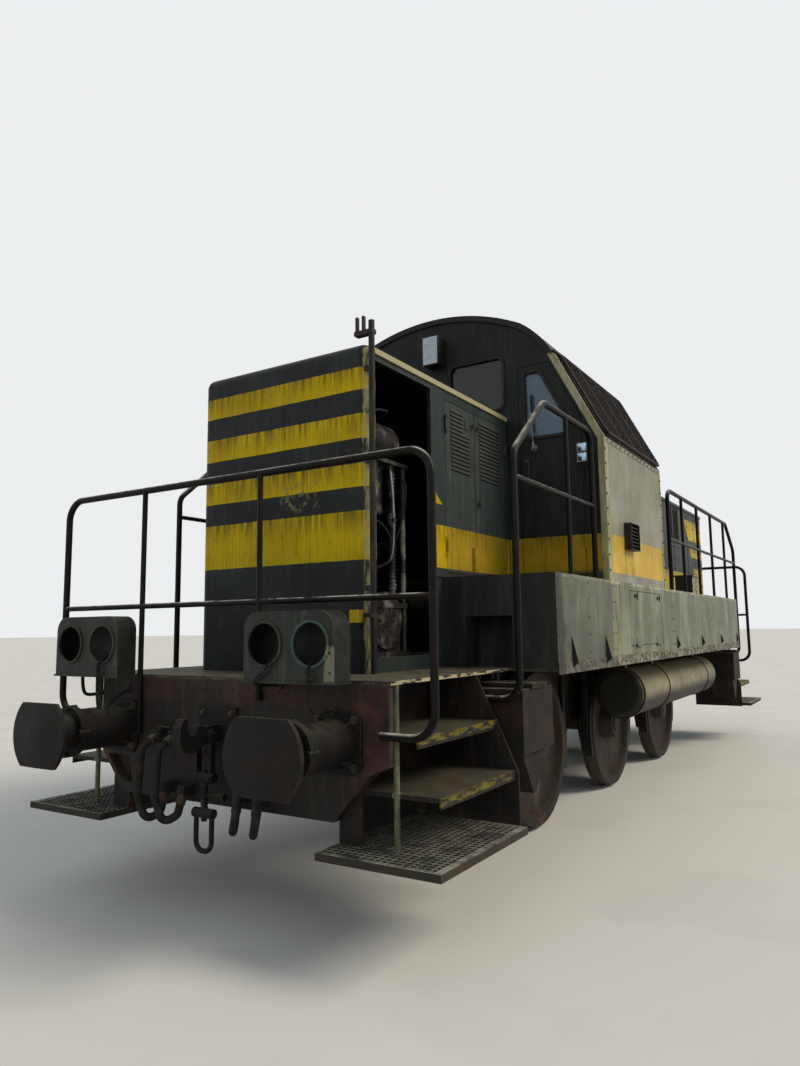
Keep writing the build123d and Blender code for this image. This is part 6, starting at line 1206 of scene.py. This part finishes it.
def radiators():
    """Radiator cores behind the long hood's grilles: close tubes and flat fins between two tanks."""
    rear, fore = RADIATOR_ENDS
    foot, top = RADIATOR_UP
    for side, word in SIDES:
        bm = bmesh.new()
        inner, outer = sorted(side * face for face in RADIATOR_FACES)
        for low, high in ((RAIL + 2.740, foot + 0.005), (top - 0.005, RAIL + 3.335)):
            bar(bm, (rear - 0.005, inner, low), (fore + 0.005, outer, high), ease=0.004)
        for x in spaced(rear + 0.010, fore - 0.010, 0.019):
            bar(bm, (x - 0.0035, inner + 0.010, foot), (x + 0.0035, outer - 0.010, top))
        for z in spaced(foot + 0.015, top - 0.015, 0.0215):
            bar(bm, (rear, inner + 0.004, z - 0.0008), (fore, outer - 0.004, z + 0.0008))
        bar(bm, (rear, side * RADIATOR_MIDDLE - 0.002, foot), (fore, side * RADIATOR_MIDDLE + 0.002, top))
        hang(f"radiator_{word}", bm, "mesh_steel")


def bay_fittings():
    """Thin pipes, unions and bolts of the compressor set, seen through the missing doors."""
    pipes([
        ("bay_pipe_a", 0.009, "weathered_alloy", [
            (3.880, 0.385, 2.075), (3.880, 0.500, 2.090), (3.872, 0.545, 2.180), (3.870, 0.545, 2.600),
            (3.880, 0.520, 2.790)]),
        ("bay_pipe_b", 0.011, "weathered_alloy", [
            (4.130, 0.385, 2.080), (4.130, 0.520, 2.100), (4.190, 0.548, 2.200), (4.280, 0.548, 2.330),
            (4.285, 0.530, 2.460)]),
        ("bay_pipe_c", 0.008, "cast_steel", [
            (3.700, -0.030, 3.200), (3.780, 0.300, 3.190), (3.900, 0.560, 3.160), (4.120, 0.570, 3.140),
            (4.240, 0.560, 3.050), (4.250, 0.520, 2.990)]),
        ("bay_cable_a", 0.007, "moulded_rubber", [
            (3.705, -0.030, 2.950), (3.720, 0.250, 2.860), (3.735, 0.565, 2.730), (3.780, 0.590, 2.560),
            (3.790, 0.560, 2.380), (3.800, 0.510, 2.270)]),
        ("bay_cable_b", 0.007, "moulded_rubber", [
            (4.300, -0.030, 2.550), (4.300, 0.300, 2.430), (4.200, 0.590, 2.380), (4.050, 0.600, 2.330),
            (3.930, 0.570, 2.220), (3.900, 0.520, 2.130)]),
    ])
    bm = bmesh.new()
    # columns: place of a union along, across, above the rail, and the direction of its pipe
    for x, y, z, direction in [
        (3.880, 0.385, 2.075, (0, 1, 0)), (4.130, 0.385, 2.080, (0, 1, 0)), (3.870, 0.545, 2.400, (0, 0, 1)),
        (4.280, 0.548, 2.330, (0, 0, 1)), (3.880, 0.520, 2.770, (0, 0, 1)), (4.285, 0.530, 2.440, (0, 0, 1)),
    ]:
        boss(bm, standing_on((x, y, RAIL + z), direction), -0.015, 0.015, 0.020, 0.020, 6)
    for x in (3.880, 4.130):
        for across in (-0.065, 0.065):
            for along in (-0.065, 0.065):
                hex_bolt(bm, (x + along, 0.290 + across, RAIL + 2.238), (0, 0, 1), 0.012)
    for step in range(6):
        turn = math.radians(60 * step)
        x, z = 4.010 + 0.080 * math.cos(turn), RAIL + 1.7073 + 0.080 * math.sin(turn)
        hex_bolt(bm, (x, 0.570, z), (0, 1, 0), 0.011)
    hang("bay_unions", bm, "fastener_steel")


def latch(bm, place):
    """Quarter-turn latch: a round rose, a stem and a flat T handle, standing on its place's Z axis."""
    for low, high, radius in ((0.0, 0.006, 0.021), (0.006, 0.020, 0.009)):
        boss(bm, place, low, high, radius, radius * 0.9)
    bar(bm, (-0.006, -0.032, 0.016), (0.006, 0.032, 0.027), place, 0.003)


# columns: name of the body, with side for left or right, places of its latches along and above the rail,
# half the width of the locomotive there
LATCHED = [
    ("side_hatch", [(0.90, 1.905), (1.65, 1.905)], BODY_HALF),
    ("short_side_leaf_1", [(3.000, 3.230)], SHORT_HOOD_HALF),
    ("short_side_leaf_2", [(2.915, 2.620), (2.915, 3.230)], SHORT_HOOD_HALF),
    ("long_side_leaf_1", [(-0.520, 2.560), (-0.520, 3.100)], LONG_HOOD_HALF),
    ("long_side_leaf_2", [(-0.620, 2.560), (-0.620, 3.100)], LONG_HOOD_HALF),
]


def door_furniture():
    """Latches and key roses on hatches, hood doors and cab doors; each swings with its leaf."""
    for side, word in SIDES:
        for pattern, spots, half in LATCHED:
            body = pattern.replace("side", word)
            bm = bmesh.new()
            for x, z in spots:
                latch(bm, standing_on((x, side * half, RAIL + z), (0, side, 0)))
            hang(f"latches_{body}", bm, "fastener_steel", body)
    # columns: which end, body, place across of the handle
    for way, body, across in ((1, "front_cab_door", 0.910), (-1, "rear_cab_door", 1.070)):
        bm = bmesh.new()
        place = end_wall_place(way)
        bar(bm, (across - 0.022, RAIL + 2.900, -0.001), (across + 0.022, RAIL + 3.060, 0.004), place, 0.001)
        boss(bm, place @ Matrix.Translation((across, RAIL + 3.035, 0)), 0.003, 0.013, 0.012, 0.009)
        hang(f"door_rose_{body}", bm, "fastener_steel", body)


MIRROR_FACE_X = 2.460
MIRROR_Y = 1.434
MIRROR_HALF = 0.038
MIRRORS_Z = [(RAIL + 2.960, RAIL + 3.030), (RAIL + 3.042, RAIL + 3.110)]
MIRROR_RIM = 0.0035


def mirror_plates():
    """Bright plates of the two small mirrors on the cab's front wall, each in a thin rolled rim."""
    glass, rim = bmesh.new(), bmesh.new()
    inner, outer = MIRROR_Y - MIRROR_HALF, MIRROR_Y + MIRROR_HALF
    for low, high in MIRRORS_Z:
        bar(
            glass, (MIRROR_FACE_X - 0.001, inner + 0.004, low + 0.004),
            (MIRROR_FACE_X + 0.002, outer - 0.004, high - 0.004), ease=0.001)
        for y in (inner, outer):
            rod(rim, (MIRROR_FACE_X, y, low), (MIRROR_FACE_X, y, high), MIRROR_RIM, 8)
        for z in (low, high):
            rod(rim, (MIRROR_FACE_X, inner, z), (MIRROR_FACE_X, outer, z), MIRROR_RIM, 8)
    hang("mirror_plates", glass, "mirror_glass")
    hang("mirror_rims", rim, "weathered_alloy")


UPPER_LAMP_ACROSS = (-0.012, 0.155)
UPPER_LAMP_UP = (RAIL + 4.013, RAIL + 4.287)
UPPER_LAMP_DEPTH = 0.150


def upper_lamps():
    """The lamp high on each cab end, over the hood: a dark case, a rim held by screws, and a pale glass."""
    cases, glasses, screws = bmesh.new(), bmesh.new(), bmesh.new()
    (inner, outer), (low, high), deep = UPPER_LAMP_ACROSS, UPPER_LAMP_UP, UPPER_LAMP_DEPTH
    for way in (1, -1):
        place = end_wall_place(way)
        # columns: mesh, how far inside the rim, how far out from and to, how far the edges are eased
        for bm, inset, back, front, ease in [
            (cases, 0.004, -0.001, deep - 0.010, 0.006),
            (cases, 0.0, deep - 0.012, deep, 0.003),
            (glasses, 0.010, deep - 0.002, deep + 0.003, 0.001),
        ]:
            bar(bm, (inner + inset, low + inset, back), (outer - inset, high - inset, front), place, ease)
        for across in (inner + 0.005, outer - 0.005):
            for up in (low + 0.020, (low + high) / 2, high - 0.020):
                rivet(screws, *on_wall(place, across, up, deep), 0.004)
    hang("upper_lamp_cases", cases, "vent_enamel")
    hang("upper_lamp_glasses", glasses, "lamp_glass")
    hang("upper_lamp_screws", screws, "fastener_steel")


FLOOR_Z = BOX_TOP_Z + 0.040
DESK_SLOPE = math.atan2(0.200, 0.100)
THROTTLE_RADIUS = 0.085


def driving_desk():
    """Gauges on both slopes of the desk, and the throttle wheels on their columns."""
    bm = bmesh.new()
    for way, foot_x in ((-1, 1.300), (1, 1.600)):
        up = Vector((-way * math.cos(DESK_SLOPE), 0, math.sin(DESK_SLOPE)))
        across = Vector((0, way, 0))
        turn = Matrix((across, up, across.cross(up))).transposed().to_4x4()
        for y in (-0.24, -0.08, 0.08, 0.24):
            place = Matrix.Translation(Vector((foot_x, y, FLOOR_Z + 0.980)) + up * 0.112) @ turn
            for low, high, radius in ((-0.002, 0.016, 0.060), (0.010, 0.018, 0.050)):
                boss(bm, place, low, high, radius, radius * 0.94, 24)
        for y in (-0.300, 0.300):
            hub = Vector((foot_x + way * 0.030, y, FLOOR_Z + 0.985))
            top = hub + Vector((0, 0, 0.075))
            rod(bm, hub, top, 0.012, 12)
            wire_ring(bm, top, THROTTLE_RADIUS, 0.009, (0, 0, 1), 28)
            for step in range(3):
                arm = Matrix.Rotation(math.radians(120 * step), 3, "Z") @ Vector((THROTTLE_RADIUS, 0, 0))
                rod(bm, hub + Vector((0, 0, 0.073)), top + arm, 0.006, 8)
    hang("desk_instruments", bm, "weathered_alloy")


cab_rivets()
roof_rivets()
end_fasteners()
lamp_fasteners()
box_fasteners()
hood_fasteners()
window_seals()
wipers()
guard_netting()
grating_rods()
lamp_conduits()
hose_fittings()
radiator_fan()
bay_fittings()
door_furniture()
mirror_plates()
upper_lamps()
driving_desk()
radiators()

# Camera, from the railway's standard sizes seen in the photograph: place, heading, tilt and roll
CAMERA_PLACE = Vector((8.379, 3.434, RAIL + 1.643))
CAMERA_HEADING = math.radians(212.19)
CAMERA_TILT = math.radians(7.10)
CAMERA_ROLL = math.radians(-0.68)
FOCAL_PIXELS = 775.7
IMAGE_HEIGHT = 1066
SENSOR = 36.0


def photograph_camera():
    """The camera that took the photograph, with the photograph's frame of 800 by 1066 pixels."""
    ahead = Vector((
        math.cos(CAMERA_HEADING) * math.cos(CAMERA_TILT),
        math.sin(CAMERA_HEADING) * math.cos(CAMERA_TILT),
        math.sin(CAMERA_TILT)))
    level_right = ahead.cross(Vector((0, 0, 1))).normalized()
    level_up = level_right.cross(ahead)
    right = math.cos(CAMERA_ROLL) * level_right + math.sin(CAMERA_ROLL) * level_up
    turn = Matrix((right, right.cross(ahead), -ahead)).transposed().to_4x4()
    camera = bpy.data.objects.new("photograph_camera", bpy.data.cameras.new("photograph_camera"))
    camera.matrix_world = Matrix.Translation(CAMERA_PLACE) @ turn
    camera.data.sensor_fit = "AUTO"
    camera.data.sensor_width = SENSOR
    camera.data.lens = FOCAL_PIXELS / IMAGE_HEIGHT * SENSOR
    camera.data.clip_start = 0.05
    camera.data.clip_end = 900
    bpy.context.scene.collection.objects.link(camera)
    bpy.context.scene.camera = camera


def plain_floor():
    """A pale studio floor that reaches far behind, as light as the backdrop where they meet."""
    bm = bmesh.new()
    bmesh.ops.create_circle(bm, cap_ends=True, radius=400, segments=96)
    mesh = bpy.data.meshes.new("studio_floor")
    bm.to_mesh(mesh)
    bm.free()
    floor = bpy.data.objects.new("studio_floor", mesh)
    bpy.context.scene.collection.objects.link(floor)
    material, tree, point = started("studio_floor")
    surface(tree, coated(tree, "#d9d9d5", "#d5d5d1", weather_patches(tree, point, 1.5, 0.5, 0.6)), 0.85)
    mesh.materials.append(material)


# columns: name, direction that the light comes from, width of the light as an angle, strength, colour
LAMPS = [
    ("key", (-0.35, 0.80, 0.70), 24, 2.1, "#fff4e0"),
    ("fill", (0.85, 0.25, 0.45), 40, 0.25, "#e8f0ff"),
]


def soft_light():
    """Even sky light, and one broad lamp from the left side, behind, and above, with a weak one to fill."""
    world = bpy.data.worlds.new("studio")
    bpy.context.scene.world = world
    world.use_nodes = True
    tree = world.node_tree
    tree.nodes.clear()
    seen = add(tree, "LightPath", output="Is Camera Ray")
    for ray in ("Is Glossy Ray", "Is Transmission Ray"):
        seen = add(tree, "Math", {0: seen, 1: add(tree, "LightPath", output=ray)}, operation="MAXIMUM")
    sky = add(tree, "Background", {"Color": "#e6eaee", "Strength": 0.55})
    backdrop = add(tree, "Background", {"Color": "#eceef0", "Strength": 1.0})
    add(tree, "OutputWorld", {"Surface": add(tree, "MixShader", {0: seen, 1: sky, 2: backdrop})})
    for name, place, width, strength, colour in LAMPS:
        lamp = bpy.data.objects.new(name, bpy.data.lights.new(name, "SUN"))
        lamp.data.angle = math.radians(width)
        lamp.data.energy = strength
        lamp.data.color = linear(colour)[:3]
        lamp.rotation_euler = (-Vector(place)).to_track_quat("-Z", "Y").to_euler()
        bpy.context.scene.collection.objects.link(lamp)


photograph_camera()
plain_floor()
soft_light()
bpy.context.scene.view_settings.view_transform = "Standard"
